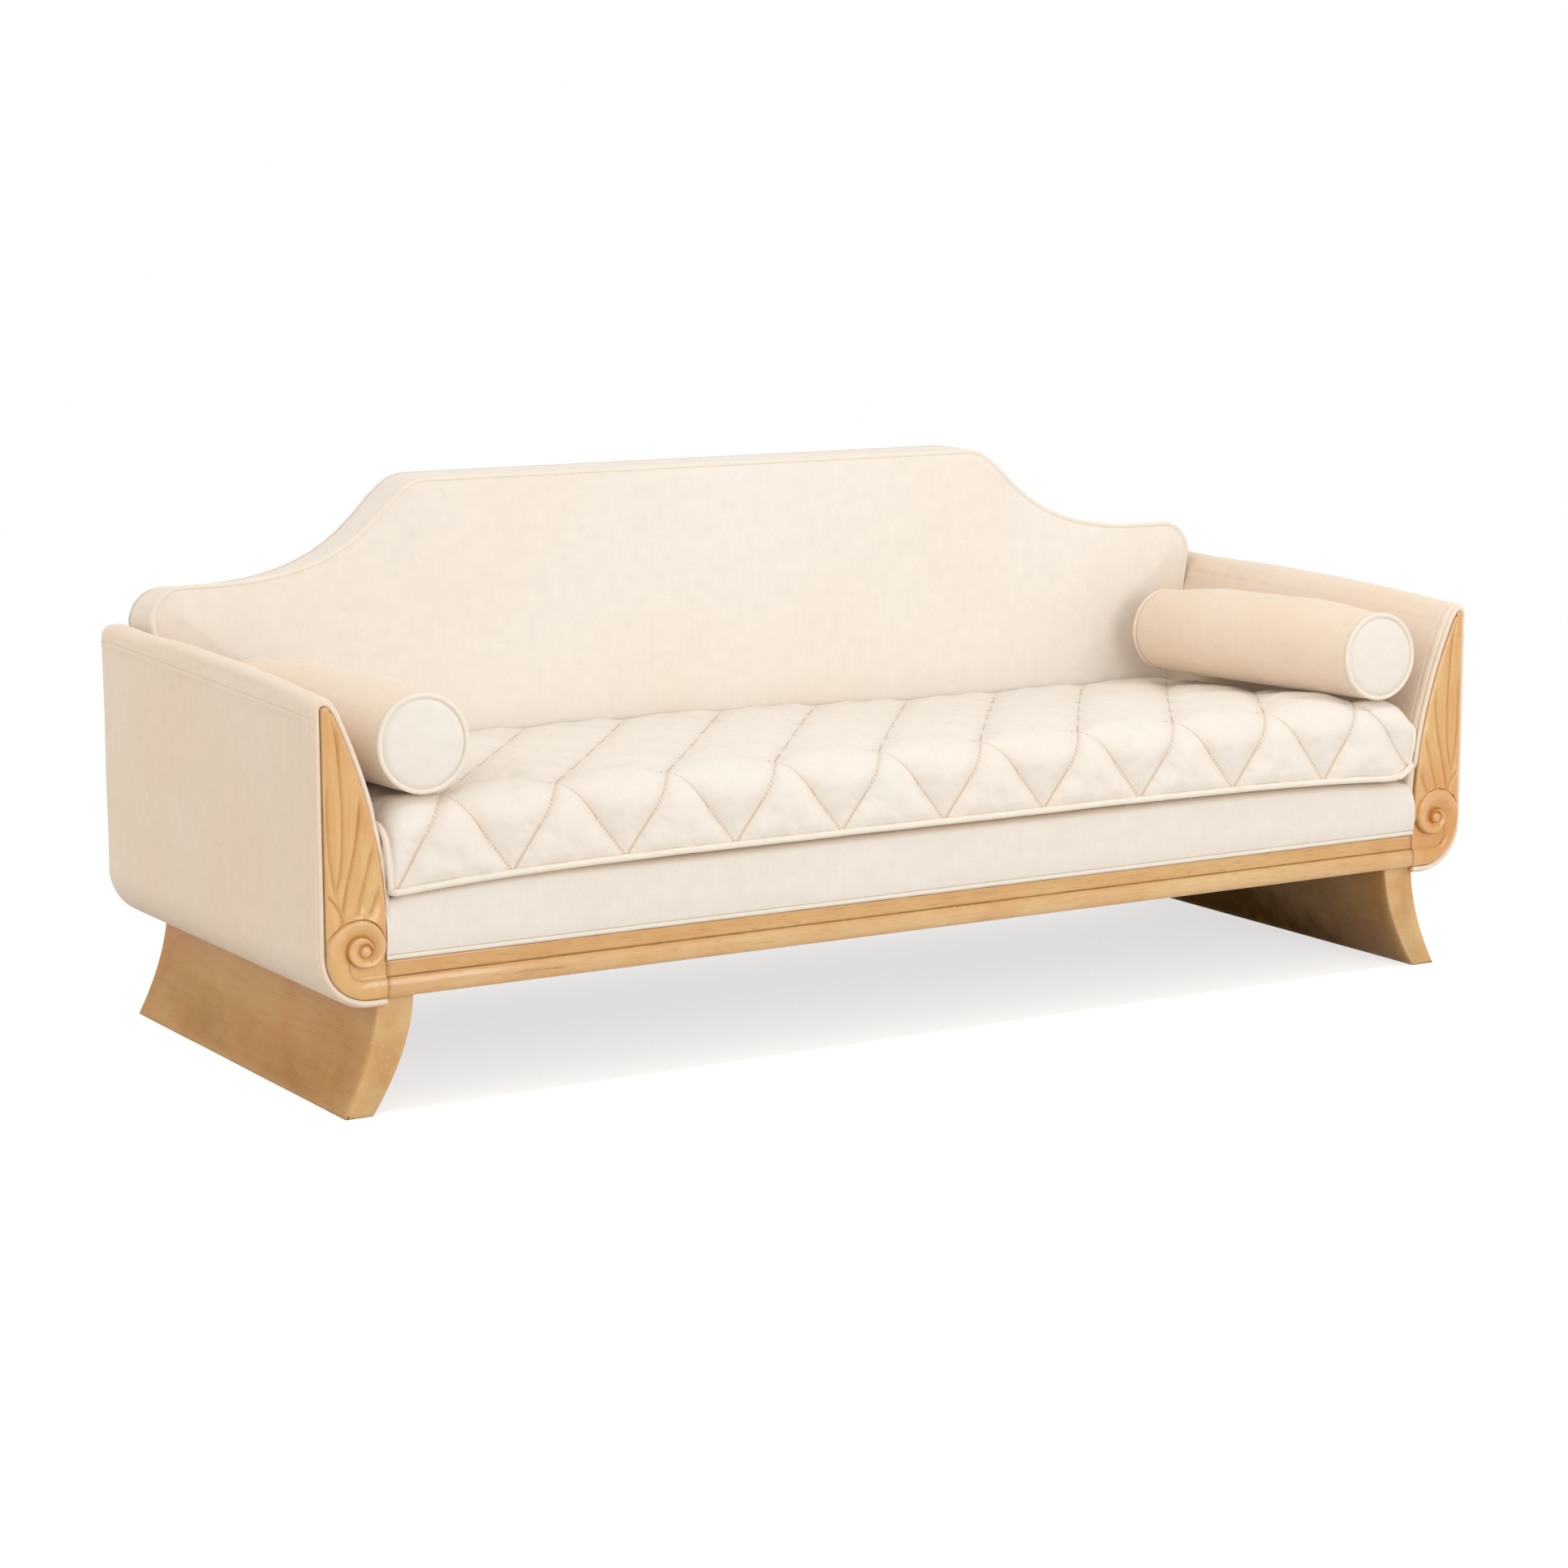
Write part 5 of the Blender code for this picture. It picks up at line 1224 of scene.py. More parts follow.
class SOFA_OT_cover_arms(bpy.types.Operator):
    """Cover both arms in velvet, with a top boxing band between plain seams and a welt round the facing"""

    bl_idname = "sofa.cover_arms"
    bl_label = "Arm covers"

    def execute(self, context):
        sizes = context.scene.sofa_sizes
        radius = sizes.welt_radius
        # Painted shade: the arm covers and their welts take the darker side copy of the velvet
        finish = velvet("velvet_arm", UPRIGHT, 0.7, 3.1, context.scene.sofa_colours.velvet_shaded_side)
        front = 2 * radius + 2 * GAP
        border_seam = front + ARM_BORDER
        rows, seams = [], []
        for depth, draw in self.stations(front, border_seam):
            section, normals = arm_section(arm_rise(depth), WOOD_IN + ARM_FOOT, SPRING_Z + 0.0006)
            share = min(max((depth - FACING_BACK) / (BACK_REACH - FACING_BACK), 0.0), 1.0)
            x, z = section.T
            inside = normals[:, 0] < 0.95
            swell = 0.007 * math.sin(math.pi * share) * smooth(0.43, 0.53, z) * inside
            swell = swell * smooth(0.95, 0.55, normals[:, 0])
            along = run_length(section)
            upright = (normals[:, 0] > 0.999) & (z > LEG_Z + CORNER)
            outer_seam = np.interp(TIP_Z + arm_rise(depth) - ARM_SEAM, z[upright], along[upright])
            inner_seam = along[np.argmax(z)] + ARM_INNER_SEAM
            grow = COVER_PROUD + swell - draw
            # mark is painted shade along the outer and inner seams, and along the border seam on the inner
            # side
            mark = np.zeros(len(x))
            for seam, depth_share in ((outer_seam, 1.0), (inner_seam, 0.6)):
                gap = np.abs(along - seam + 0.0006 * float(unevenness(depth, 0.0, 0.06, 7)))
                fold = 0.5 * bell(gap, 0.008) - 1.5 * bell(gap, 0.0016)
                grow = grow + depth_share * sizes.seam_depth * fold
                mark = np.maximum(mark, depth_share * bell(gap, 0.0017))
            strip = smooth(0.2, -0.2, normals[:, 0]) * smooth(0.30, 0.34, z)
            grow = grow - strip * sizes.seam_depth * bell(depth - border_seam, 0.0014)
            mark = np.maximum(mark, 0.7 * strip * bell(depth - border_seam, 0.0010))
            seams.append(mark)
            flat = (along > 0.1) & (z > LEG_Z + 0.05)
            level = np.full(len(z), depth)
            grow = grow + flat * (0.0006 * unevenness(level, z, 0.17, 21))
            pucker = math.exp(-(depth - front) / 0.03)
            grow = grow + flat * 0.0005 * pucker * unevenness(level, z, 0.028, 22)
            rows.append(np.stack([x + normals[:, 0] * grow, level, z + normals[:, 1] * grow], axis=1))
        rows, seams = np.array(rows), np.array(seams)
        for name, side in SIDES:
            grid = rows * np.array((side, 1.0, 1.0)) + np.array((0.0, FACE_Y, 0.0))
            order = slice(None, None, side)
            points, faces = shell(grid[:, order], ARM_CLOTH)
            item = piece(f"arm_velvet_{name}", points, faces, finish, {"seam": seams[:, order]})
            fit(item, "frame", "velvet", f"arm_cover_{name}")
            self.rear_panel(name, side, finish)
            self.welt(name, side, radius, finish)
        return {"FINISHED"}

    def stations(self, front, border_seam):
        """Depths of the cover's sections, and how far each is drawn in at the front and the rear."""
        roll = 0.006
        turns = np.radians(np.linspace(0, 90, 7))
        stations = [(front + roll * (1 - math.sin(a)), roll * (1 - math.cos(a))) for a in turns[::-1]]
        stations += [(y, 0.0) for y in border_seam + 0.004 * np.linspace(-1, 1, 9)]
        stations += [(y, 0.0) for y in np.linspace(border_seam + 0.006, FRAME_REAR - 0.004, 105)]
        return stations + [(FRAME_REAR - 0.0015, 0.0007), (FRAME_REAR, 0.0025)]

    def rear_panel(self, name, side, finish):
        """The flat rear of an arm, softly padded and turned in at its edge."""
        rise = arm_rise(FRAME_REAR)
        x, z = outline_grid(0.006, 40, 0.7, COVER_PROUD, rise)
        path, normals = arm_section(rise, WOOD_IN, LEG_Z)
        rim = path + normals * COVER_PROUD
        rim = np.concatenate([rim, np.linspace(rim[-1], rim[0], 12)])
        edge, _ = away_from(x, z, rim)
        depth = REAR_DEPTH - 0.0050 * (1 - quarter_round(edge, 0.012)) - 0.0004
        points, faces = slab(world(side * x, depth, z), FACE_Y + FRAME_REAR + GAP)
        item = piece(f"arm_rear_velvet_{name}", points, faces, finish)
        fit(item, "frame", "velvet", f"arm_rear_panel_{name}")

    def welt(self, name, side, radius, finish):
        """The welt round a facing; inside, it sinks behind the wood where the seat hides it."""
        stop, sink = CORD_ENDS[name]
        section, normals = arm_section(0.0, WOOD_IN + GAP, stop)
        path = section + normals * (radius + GAP)
        depth = radius + GAP + 0.0035 * smooth(-0.2, 0.6, normals[:, 0])
        hidden = smooth(0.0, -0.5, normals[:, 0]) * smooth(stop + sink, stop + 0.01, path[:, 1])
        path = world(side * path[:, 0], depth + 0.011 * hidden, path[:, 1])
        welt(f"arm_cord_{name}", path, "frame", f"arm_welt_{name}", finish=finish)


def back_side(z, shoulder):
    """Half width of the back at heights below its shoulder."""
    corner_z = shoulder - BACK_CORNER
    x, slope = inner_edge(z, ARM_REAR_RISE)
    arm = x - COVER_PROUD * np.hypot(1.0, slope) - BACK_TO_ARM
    taper = BACK_END - BACK_TAPER * np.maximum(0.0, corner_z - z)
    bend = np.clip((z - corner_z) / BACK_CORNER, 0, 1)
    rounded = BACK_END - BACK_CORNER + BACK_CORNER * np.sqrt(1 - bend ** 2)
    return np.where(z > corner_z, np.minimum(rounded, arm), np.minimum(taper, arm))


def back_top(x, shoulder, height):
    """Height of the serpentine top at places across the back."""
    t = np.linspace(0, 1, 400)[:, None]
    knots = [np.array(p) for p in ((SWEEP_END, shoulder), (SWEEP_END - SWEEP_LOW, shoulder),
                                   (TOP_HALF + SWEEP_HIGH, height), (TOP_HALF, height))]
    line = ((1 - t) ** 3 * knots[0] + 3 * t * (1 - t) ** 2 * knots[1]
            + 3 * t * t * (1 - t) * knots[2] + t ** 3 * knots[3])
    return np.interp(np.abs(x), line[::-1, 0], line[::-1, 1])


def back_field(u, v, low, shoulder, height):
    """Points over the back's front view; u runs from -1 to 1 across it and v from 0 to 1 up it."""
    x = u * back_side(low + v * (shoulder - low), shoulder)
    return x, low + v * (back_top(x, shoulder, height) - low)


def back_rim(low, shoulder, height, count):
    """Outline of the back from its lower right corner, over the top, to the lower left, evenly spaced."""
    v = edge_spread(160, 0.6)
    side = np.stack(back_field(np.ones(160), v, low, shoulder, height), axis=1)
    u = np.linspace(1, -1, 700)
    over = np.stack(back_field(u, np.ones(700), low, shoulder, height), axis=1)
    other = side[::-1] * np.array((-1.0, 1.0))
    path = np.concatenate([side, over[1:-1], other])
    return evenly(path, count)


def back_grid(shape, crowd, outline, counts, raised=0.0):
    """Points over the back's front view, their x and z, and the way from each to the outline."""
    low, shoulder, height = outline
    u = 2 * edge_spread(shape[1], crowd)[None, :] - 1
    v = edge_spread(shape[0], crowd)[:, None]
    x, z = back_field(*np.broadcast_arrays(u, v), low + raised, shoulder, height)
    rim = back_rim(*outline, counts[0])
    base = np.linspace(rim[-1], rim[0], counts[1])
    edge, _ = away_from(x, z, np.concatenate([rim, base[1:-1]]))
    return x, z, edge


def back_welt_depth(z):
    return FRAME_REAR - BACK_THICKNESS + (z - BACK_SHOULDER) * math.tan(BACK_LEAN)


class SOFA_OT_cover_back(bpy.types.Operator):
    """Cover the back: a crowned face, a boxing band round it, their welt and the outside back"""

    bl_idname = "sofa.cover_back"
    bl_label = "Back covers"

    def execute(self, context):
        finish = velvet("velvet_back", UPRIGHT, 0.6, 2.0)
        outline = (BACK_LOW, BACK_SHOULDER, BACK_TOP - TOP_RISE)
        points, faces = joined(self.face(outline), self.boxing(outline))
        item = piece("back_velvet", points, faces, finish)
        fit(item, "frame", "velvet", "back_cover")
        radius = context.scene.sofa_sizes.welt_radius
        cord = back_rim(BACK_LOW + 0.006, *outline[1:], 700)
        cord = cord - path_normals(cord) * (radius + GAP - 0.003)
        welt("back_cord", world(cord[:, 0], back_welt_depth(cord[:, 1]), cord[:, 1]), "frame", "back_welt")
        self.outside(finish)
        return {"FINISHED"}

    def face(self, outline):
        """The crowned face, rolled over at its welt, with a little unevenness and gathers near the edge."""
        x, z, edge = back_grid((110, 300), 0.45, outline, (900, 300), 0.001)
        share = np.clip(edge / BACK_SOFT, 0, 1)
        rise = BACK_SWELL * (1 - (1 - share) ** 2) + BACK_ROLL * (1 - np.exp(-edge / 0.010))
        fade = smooth(0.0, 0.05, edge)
        rise = rise + 0.0009 * fade * unevenness(x, z, 0.30, 31) + 0.0004 * fade * unevenness(x, z, 0.09, 32)
        gather = np.exp(-edge / 0.028) * smooth(0.0, 0.012, edge)
        rise = np.minimum(rise + 0.0008 * gather * unevenness(x, z, 0.035, 33), BACK_CROWN)
        grid = world(x, back_welt_depth(z) + 0.0012 * np.exp(-edge / 0.004) - rise, z)
        middle = np.array((0.0, 0.0, 0.50))
        inner = middle + (grid - middle) * np.array((0.994, 1.0, 0.985)) + np.array((0.0, BACK_CLOTH, 0.0))
        return shell(grid, inner=inner)

    def boxing(self, outline):
        """The band from the face's welt to the rear, puffed a little where the arms leave it clear."""
        front = back_rim(*outline, 640)
        rear = back_rim(BACK_LOW, BACK_SHOULDER - SHOULDER_FALL, BACK_TOP, 640)
        rows = []
        for t in edge_spread(22, 0.6):
            line = front + (rear - front) * t
            along = run_length(line)
            puff = 0.0030 * math.sin(math.pi * t) ** 0.6 - 0.0018
            puff = puff + 0.0005 * unevenness(along, np.full(len(along), t * 0.1), 0.08, 35)
            clear = smooth(0.54, 0.70, line[:, 1])
            line = line + path_normals(line) * (puff * clear - 0.0012 * (1 - clear))[:, None]
            depth = back_welt_depth(line[:, 1]) + 0.0008
            rows.append(world(line[:, 0], depth + (FRAME_REAR - depth) * t, line[:, 1]))
        return shell(np.array(rows)[:, ::-1], BOXING_CLOTH)

    def outside(self, finish):
        """The outside back: one plain panel, tight over the frame, its edges turned in."""
        outline = (LEG_Z - COVER_PROUD, BACK_SHOULDER - SHOULDER_FALL, BACK_TOP)
        x, z, edge = back_grid((80, 180), 0.6, outline, (700, 240))
        depth = REAR_DEPTH - 0.0006 - 0.0050 * (1 - quarter_round(edge, 0.011))
        depth = depth + 0.0005 * smooth(0.01, 0.06, edge) * (unevenness(x, z, 0.26, 41) - 0.4)
        points, faces = slab(world(x, depth, z), FACE_Y + FRAME_REAR + GAP)
        item = piece("outside_back_velvet", points, faces, finish)
        fit(item, "frame", "velvet", "outside_back")


class SOFA_OT_cover_deck(bpy.types.Operator):
    """Cover the seat deck and its front band, lay their welt, and stretch the dust cover"""

    bl_idname = "sofa.cover_deck"
    bl_label = "Seat deck"

    def execute(self, context):
        radius = context.scene.sofa_sizes.welt_radius
        band_back = RAIL_REBATE - GAP
        rear = FRAME_FRONT - GAP
        nose_y = DECK_FACE + DECK_NOSE
        nose_z = DECK_Z - nose_y * SEAT_FALL - DECK_NOSE
        rise = np.linspace(0, 1, 26)
        section = [(band_back, DECK_LOW), (DECK_FACE + 0.004, DECK_LOW)]
        section += list(zip(DECK_FACE - DECK_PUFF * np.sin(math.pi * rise) ** 0.8,
                            DECK_LOW + (nose_z - DECK_LOW) * rise))
        a = np.radians(np.linspace(180, 90, 9))[1:]
        section += list(zip(nose_y + DECK_NOSE * np.cos(a), nose_z + DECK_NOSE * np.sin(a)))
        section += [(y, DECK_Z - y * SEAT_FALL) for y in np.linspace(nose_y, rear, 26)[1:]]
        section += [(y, DECK_Z - y * SEAT_FALL - DECK_BOARD) for y in (rear, band_back)]
        section = np.array(section)
        back, up = section.T
        half = DECK_HALF
        x = np.concatenate([[-half], np.linspace(-half + 0.003, half - 0.003, 220), [half]])
        wide, depth, z = swept(section, x)
        share = np.clip((up - DECK_LOW) / (nose_z - DECK_LOW), 0, 1)
        on_band = (back < nose_y) & (up > DECK_LOW + 0.001) & (up < nose_z)
        pull = np.sin(math.pi * share)
        depth += np.where(on_band, -0.0006 * pull * unevenness(wide, z * 2.0, 0.12, 51), 0.0)
        z += edge_roll(wide) * smooth(DECK_LOW, nose_z, z) * smooth(0.060, 0.035, depth)
        parts = [tube(world(wide, depth, z))]
        # Painted shade on the deck's front edge, in the gap under the cushion's front, uneven along it and
        # fainter towards the ends
        crease = smooth(nose_z + 0.30 * DECK_NOSE, nose_z + 0.80 * DECK_NOSE, up) * (back < nose_y + 0.012)
        crease = crease[None, :] * (0.45 + 0.12 * np.clip(unevenness(x, 0.0 * x, 0.5, 52), -1, 1))[:, None]
        crease = crease * smooth(0.955, 0.905, np.abs(wide))
        ear = section[(back <= DECK_EAR) & (up <= nose_z + DECK_NOSE)]
        ear = np.concatenate([[(DECK_EAR, DECK_LOW)], ear, [(DECK_EAR, ear[-1, 1] + 0.001)]])
        low = np.clip((ear[:, 1] - DECK_LOW) / (nose_z - DECK_LOW), 0, 1) ** 3
        for _, side in SIDES:
            across = half - 0.002 + (WOOD_IN - 2 * GAP - half + 0.002) * np.linspace(0, 1, 8)[::side]
            fall = 0.006 + 0.010 * smooth(half, WOOD_IN, across)
            parts.append(tube(world(side * across[:, None], ear[:, 0], ear[:, 1] - fall[:, None] * low)))
        points, faces = joined(*parts)
        finish = velvet("velvet_deck", UPRIGHT, 0.25, 2.6)
        item = piece("deck_velvet", points, faces, finish, {"seam": crease}, 55)
        fit(item, "frame", "velvet", "seat_deck")
        x = (WOOD_IN - 0.0012) * np.linspace(-1, 1, 60)
        welt("deck_cord", world(x, DECK_FACE + radius, RAIL_TOP + GAP + radius), "frame", "deck_welt")
        self.dust_cover(context)
        return {"FINISHED"}

    def dust_cover(self, context):
        """Thin lining under the seat, tacked at its edges and sagging a little between them."""
        low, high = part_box("dust_cover")
        x = np.linspace(low[0], high[0], 90)[None, :]
        y = np.linspace(low[1], high[1], 44)[:, None]
        x, y = np.broadcast_arrays(x, y)
        u = np.sin(math.pi * (x - low[0]) / (high[0] - low[0]))
        v = np.sin(math.pi * (y - low[1]) / (high[1] - low[1]))
        sag = LINING_SAG * np.sqrt(np.clip(u * v, 0, 1)) * (1 + 0.15 * unevenness(x, y, 0.25, 61))
        top = high[2] - 0.0004
        points, faces = shell(np.stack([x, y, top - sag], axis=-1)[::-1], -LINING_CLOTH)
        black = context.scene.sofa_colours.lining
        lining = mottled("black_lining", black, 0.9, 0.0, (500.0, 500.0, 500.0), 0.0004)
        item = piece("dust_lining", points, faces, lining)
        fit(item, "frame", "lining", "dust_cover")


def front_bow(x):
    """How far the seat's front edge bows up, most in the middle."""
    return CUSHION_LIFT * (1 - np.abs(np.clip(x / CUSHION_HALF, -1, 1)) ** 5)


def front_lift(x, y, z=0.0):
    """How far the cushion's front is up from the seat: by the bow, and more at its right corner."""
    lift = front_bow(x) + CORNER_LIFT * smooth(0.912, 0.956, x) ** 1.5
    return lift * smooth(CUSHION_EDGE, 0.0, z) * smooth(LIFT_REACH, 0.0, y)


def foot_round(x, y, z):
    """How far the cushion's right front foot is rounded in."""
    return CUSHION_ROUND * smooth(0.920, 0.952, x) * smooth(0.030, 0.0, y) * smooth(0.060, 0.0, z)


def edge_roll(x):
    """Rise of the deck's front edge under the cushion, with a gap from the left on and rounded ends."""
    gap = DECK_GAP * smooth(-0.78, -0.45, x)
    return np.maximum(front_bow(x) - gap, 0.0) - DECK_END_FALL * smooth(0.930, 0.958, np.abs(x))


def cushion_depth():
    """Front to back of the cushion, just clear of the back's face."""
    reach = BACK_REACH - 0.0006 + CUSHION_OVERHANG - (CUSHION_EDGE + CUSHION_CROWN) * math.sin(SEAT_SLOPE)
    return reach / math.cos(SEAT_SLOPE)


def cushion_end(y):
    share = np.clip(y / cushion_depth(), 0, 1)
    return CUSHION_HALF - CUSHION_DRAW * np.sin(math.pi * share)


def cushion_runs():
    """Lengths of the cushion's section: up its front, round the front edge, back over the top."""
    rise = CUSHION_EDGE + CUSHION_CROWN - CUSHION_NOSE - CUSHION_SEAM
    return rise, CUSHION_NOSE * math.pi / 2, cushion_depth() - CUSHION_NOSE


def cushion_profile(share, height):
    """Section from the front seam over the front edge to the rear, with its outward normal."""
    top = CUSHION_EDGE + CUSHION_CROWN
    rise, turn, run = cushion_runs()
    s = share * (rise + turn + run)
    a = np.clip((s - rise) / CUSHION_NOSE, 0, math.pi / 2)
    ny, nz = -np.cos(a), np.sin(a)
    y = np.where(s <= rise + turn, CUSHION_NOSE * (1 + ny), CUSHION_NOSE + s - rise - turn)
    z = np.where(s <= rise, CUSHION_SEAM + s, top - CUSHION_NOSE * (1 - nz))
    z = CUSHION_SEAM + (z - CUSHION_SEAM) * (height - CUSHION_SEAM) / (top - CUSHION_SEAM)
    return y, z, ny, nz


class SOFA_OT_quilt_cushion(bpy.types.Operator):
    """Sew and fill the bench cushion: diamond quilting, end boxings and welts"""

    bl_idname = "sofa.quilt_cushion"
    bl_label = "Bench cushion"

    steps = 24

    def execute(self, context):
        sizes = context.scene.sofa_sizes
        length = sum(cushion_runs())
        columns = 2 * self.steps * QUILT_WIDE
        rows = round(self.steps * (1 + (length - QUILT_FRONT) / QUILT_PITCH))
        i, j = np.meshgrid(np.arange(columns + 1), np.arange(rows + 1), indexing="ij")
        along = np.interp(j, (0, self.steps, rows), (0, QUILT_FRONT / length, 1))
        sewn, fill, seam_shade = self.pattern(i, j, columns, rows)
        puff = sizes.quilt_puff * fill * (1 - 0.42 * smooth(0.22, 0.45, j / rows))
        top = self.surface(i / columns, along, puff)
        top = self.settle(top, sewn, i, j)
        points, faces = self.closed(top, i, j)
        finish = velvet("velvet_cushion", DEEP, 0.35, 2.6)
        item = piece("bench_cushion_velvet", points, faces, finish, {"seam": seam_shade}, 60)
        fit(item, "bench_cushion", "velvet", "seat_cushion")
        self.welts(sizes.welt_radius)
        self.stitches(top, i, j, sizes)
        return {"FINISHED"}

    def pattern(self, i, j, columns, rows):
        """Where the stitching runs, how full each panel is between it, and the painted shade along the
        stitching.
        """
        period = 2 * self.steps
        fill = np.ones(i.shape)
        seam_shade = np.zeros(i.shape)
        sewn = np.zeros(i.shape, dtype=bool)
        back = j / rows
        # The painted shade along the stitching fades towards the rear, the second run sooner and more than
        # the first
        fades = (1 - 0.58 * smooth(0.17, 0.28, back), 1 - 0.82 * smooth(0.08, 0.16, back))
        for line, fade in zip(((i - j) % period, (i + j) % period), fades):
            away = np.minimum(line, period - line) / self.steps
            sewn |= line == 0
            fill = fill * (1 - (1 - away) ** 3.4)
            cells = away * self.steps
            # Painted shade: a dark line on the stitching and a soft band either side
            shade = 0.50 * np.clip(1 - cells, 0, 1) + 0.10 * bell(cells, 3.5)
            seam_shade = np.maximum(seam_shade, fade * shade)
        inside = np.minimum(np.minimum(i, columns - i) / 4, np.minimum(j / 3, (rows - j) / 3))
        rim = inside == 0
        # Painted shade also runs along the seams at both ends of the top
        seam_shade = np.maximum(seam_shade * ~rim, 0.38 * (np.minimum(i, columns - i) == 0))
        return sewn | rim, fill * np.clip(inside, 0, 1) ** 0.5, seam_shade

    def surface(self, across, along, puff):
        """The top in place: its crown, spread ends, lifted front and sag, with the quilting's puff."""
        flat_x = CUSHION_HALF * (2 * across - 1)
        height = CUSHION_EDGE + CUSHION_CROWN * (1 - np.abs(flat_x / CUSHION_HALF) ** 36)
        y, z, ny, nz = cushion_profile(along, height)
        spread = CUSHION_SPREAD * smooth(0.0, CUSHION_EDGE, z) * (flat_x / CUSHION_HALF) ** 24
        x = flat_x * cushion_end(y) / CUSHION_HALF + np.sign(flat_x) * spread
        x = x - foot_round(x, y, z)
        z = z + front_lift(x, y, z)
        sag = CUSHION_SAG * smooth(-0.1, 0.5, x) * smooth(0.955, 0.885, x)
        z = z - sag * smooth(0.10, 0.95, y / cushion_depth())
        return on_seat(x, y + ny * puff - CUSHION_OVERHANG, z + nz * puff + GAP)

    def panels(self, i, j):
        """Triangles of the top, with edges along both runs of stitching."""
        index = np.arange(i.size).reshape(i.shape)
        corners = [part.ravel() for part in
                   (index[:-1, :-1], index[1:, :-1], index[1:, 1:], index[:-1, 1:])]
        period = 2 * self.steps
        ci, cj = i[:-1, :-1], j[:-1, :-1]
        rising = (((ci - cj) % period < self.steps) == ((ci + cj) % period < self.steps)).ravel()
        faces = []
        for up, down in (((0, 1, 2), (0, 1, 3)), ((0, 2, 3), (1, 2, 3))):
            one, two = (np.stack([corners[k] for k in picks], axis=1) for picks in (up, down))
            faces += np.where(rising[:, None], one, two).tolist()
        return faces

    def settle(self, top, sewn, i, j):
        """Fill the panels by a short cloth run: the stitching is held and the cloth swells between it."""
        mesh = bpy.data.meshes.new("quilt_trial")
        mesh.from_pydata(top.reshape(-1, 3).tolist(), [], self.panels(i, j))
        trial = link(bpy.data.objects.new("quilt_trial", mesh))
        held = trial.vertex_groups.new(name="sewn")
        held.add(np.flatnonzero(sewn.ravel()).tolist(), 1.0, "REPLACE")
        cloth = trial.modifiers.new("cloth", "CLOTH")
        cloth.settings.quality = 4
        cloth.settings.mass = 0.25
        cloth.settings.tension_stiffness = 12.0
        cloth.settings.compression_stiffness = 12.0
        cloth.settings.shear_stiffness = 6.0
        cloth.settings.bending_stiffness = 0.8
        cloth.settings.vertex_group_mass = "sewn"
        cloth.settings.use_pressure = True
        cloth.settings.uniform_pressure_force = 1.2
        cloth.settings.shrink_min = -0.012
        cloth.settings.effector_weights.gravity = 0.0
        cloth.collision_settings.use_collision = False
        scene = bpy.context.scene
        for count in range(1, CLOTH_FRAMES + 1):
            scene.frame_set(count)
        graph = bpy.context.evaluated_depsgraph_get()
        swollen = np.empty(len(mesh.vertices) * 3, dtype=np.float32)
        trial.evaluated_get(graph).data.vertices.foreach_get("co", swollen)
        scene.frame_set(1)
        bpy.data.objects.remove(trial)
        bpy.data.meshes.remove(mesh)
        move = swollen.reshape(top.shape) - top
        size = np.linalg.norm(move, axis=2, keepdims=True)
        return top + move * np.minimum(1.0, CLOTH_CAP / np.maximum(size, 1e-9))

    def closed(self, top, i, j):
        """The whole cushion: quilted top, end boxings that bulge a little, and a flat underside."""
        points = [top.reshape(-1, 3)]
        faces = self.panels(i, j)
        index = np.arange(i.size).reshape(i.shape)
        count = i.size
        loop = list(index[:, 0]) + list(index[-1, 1:]) + list(index[-2::-1, -1]) + list(index[0, -2:0:-1])
        edge = points[0][loop]
        x = edge[:, 0]
        y, z = off_seat(edge[:, 1], edge[:, 2])
        levels = 10
        at_end = np.abs(x) > cushion_end(y + CUSHION_OVERHANG) - 0.002
        at_end = at_end * smooth(-0.001, 0.012, y + CUSHION_OVERHANG)
        under = GAP + front_lift(x, y)
        rings = []
        for k in range(1, levels + 1):
            t = k / levels
            bulge = CUSHION_BULGE * math.sin(math.pi * t) * at_end
            out = bulge - np.maximum(np.abs(x) - cushion_end(y), 0) * smooth(0.3, 1.0, t)
            out = out - t * at_end * foot_round(x, y, 0.0)
            rings.append(on_seat(x + np.sign(x) * out, y, z + (under - z) * t))
        for inset, share in ((0.045, 1.0), (0.075, 0.0)):
            inward = np.clip(x, -CUSHION_HALF + inset, CUSHION_HALF - inset)
            back = np.clip(y, inset, cushion_depth() - inset)
            rings.append(on_seat(inward, back, GAP + (under - GAP) * share))
        ring_before = loop
        for ring in rings:
            points.append(ring)
            ring_now = list(range(count, count + len(loop)))
            count += len(loop)
            for n in range(len(loop)):
                m = (n + 1) % len(loop)
                faces.append((ring_before[n], ring_before[m], ring_now[m], ring_now[n]))
            ring_before = ring_now
        faces.append(ring_before)
        return np.concatenate(points), faces

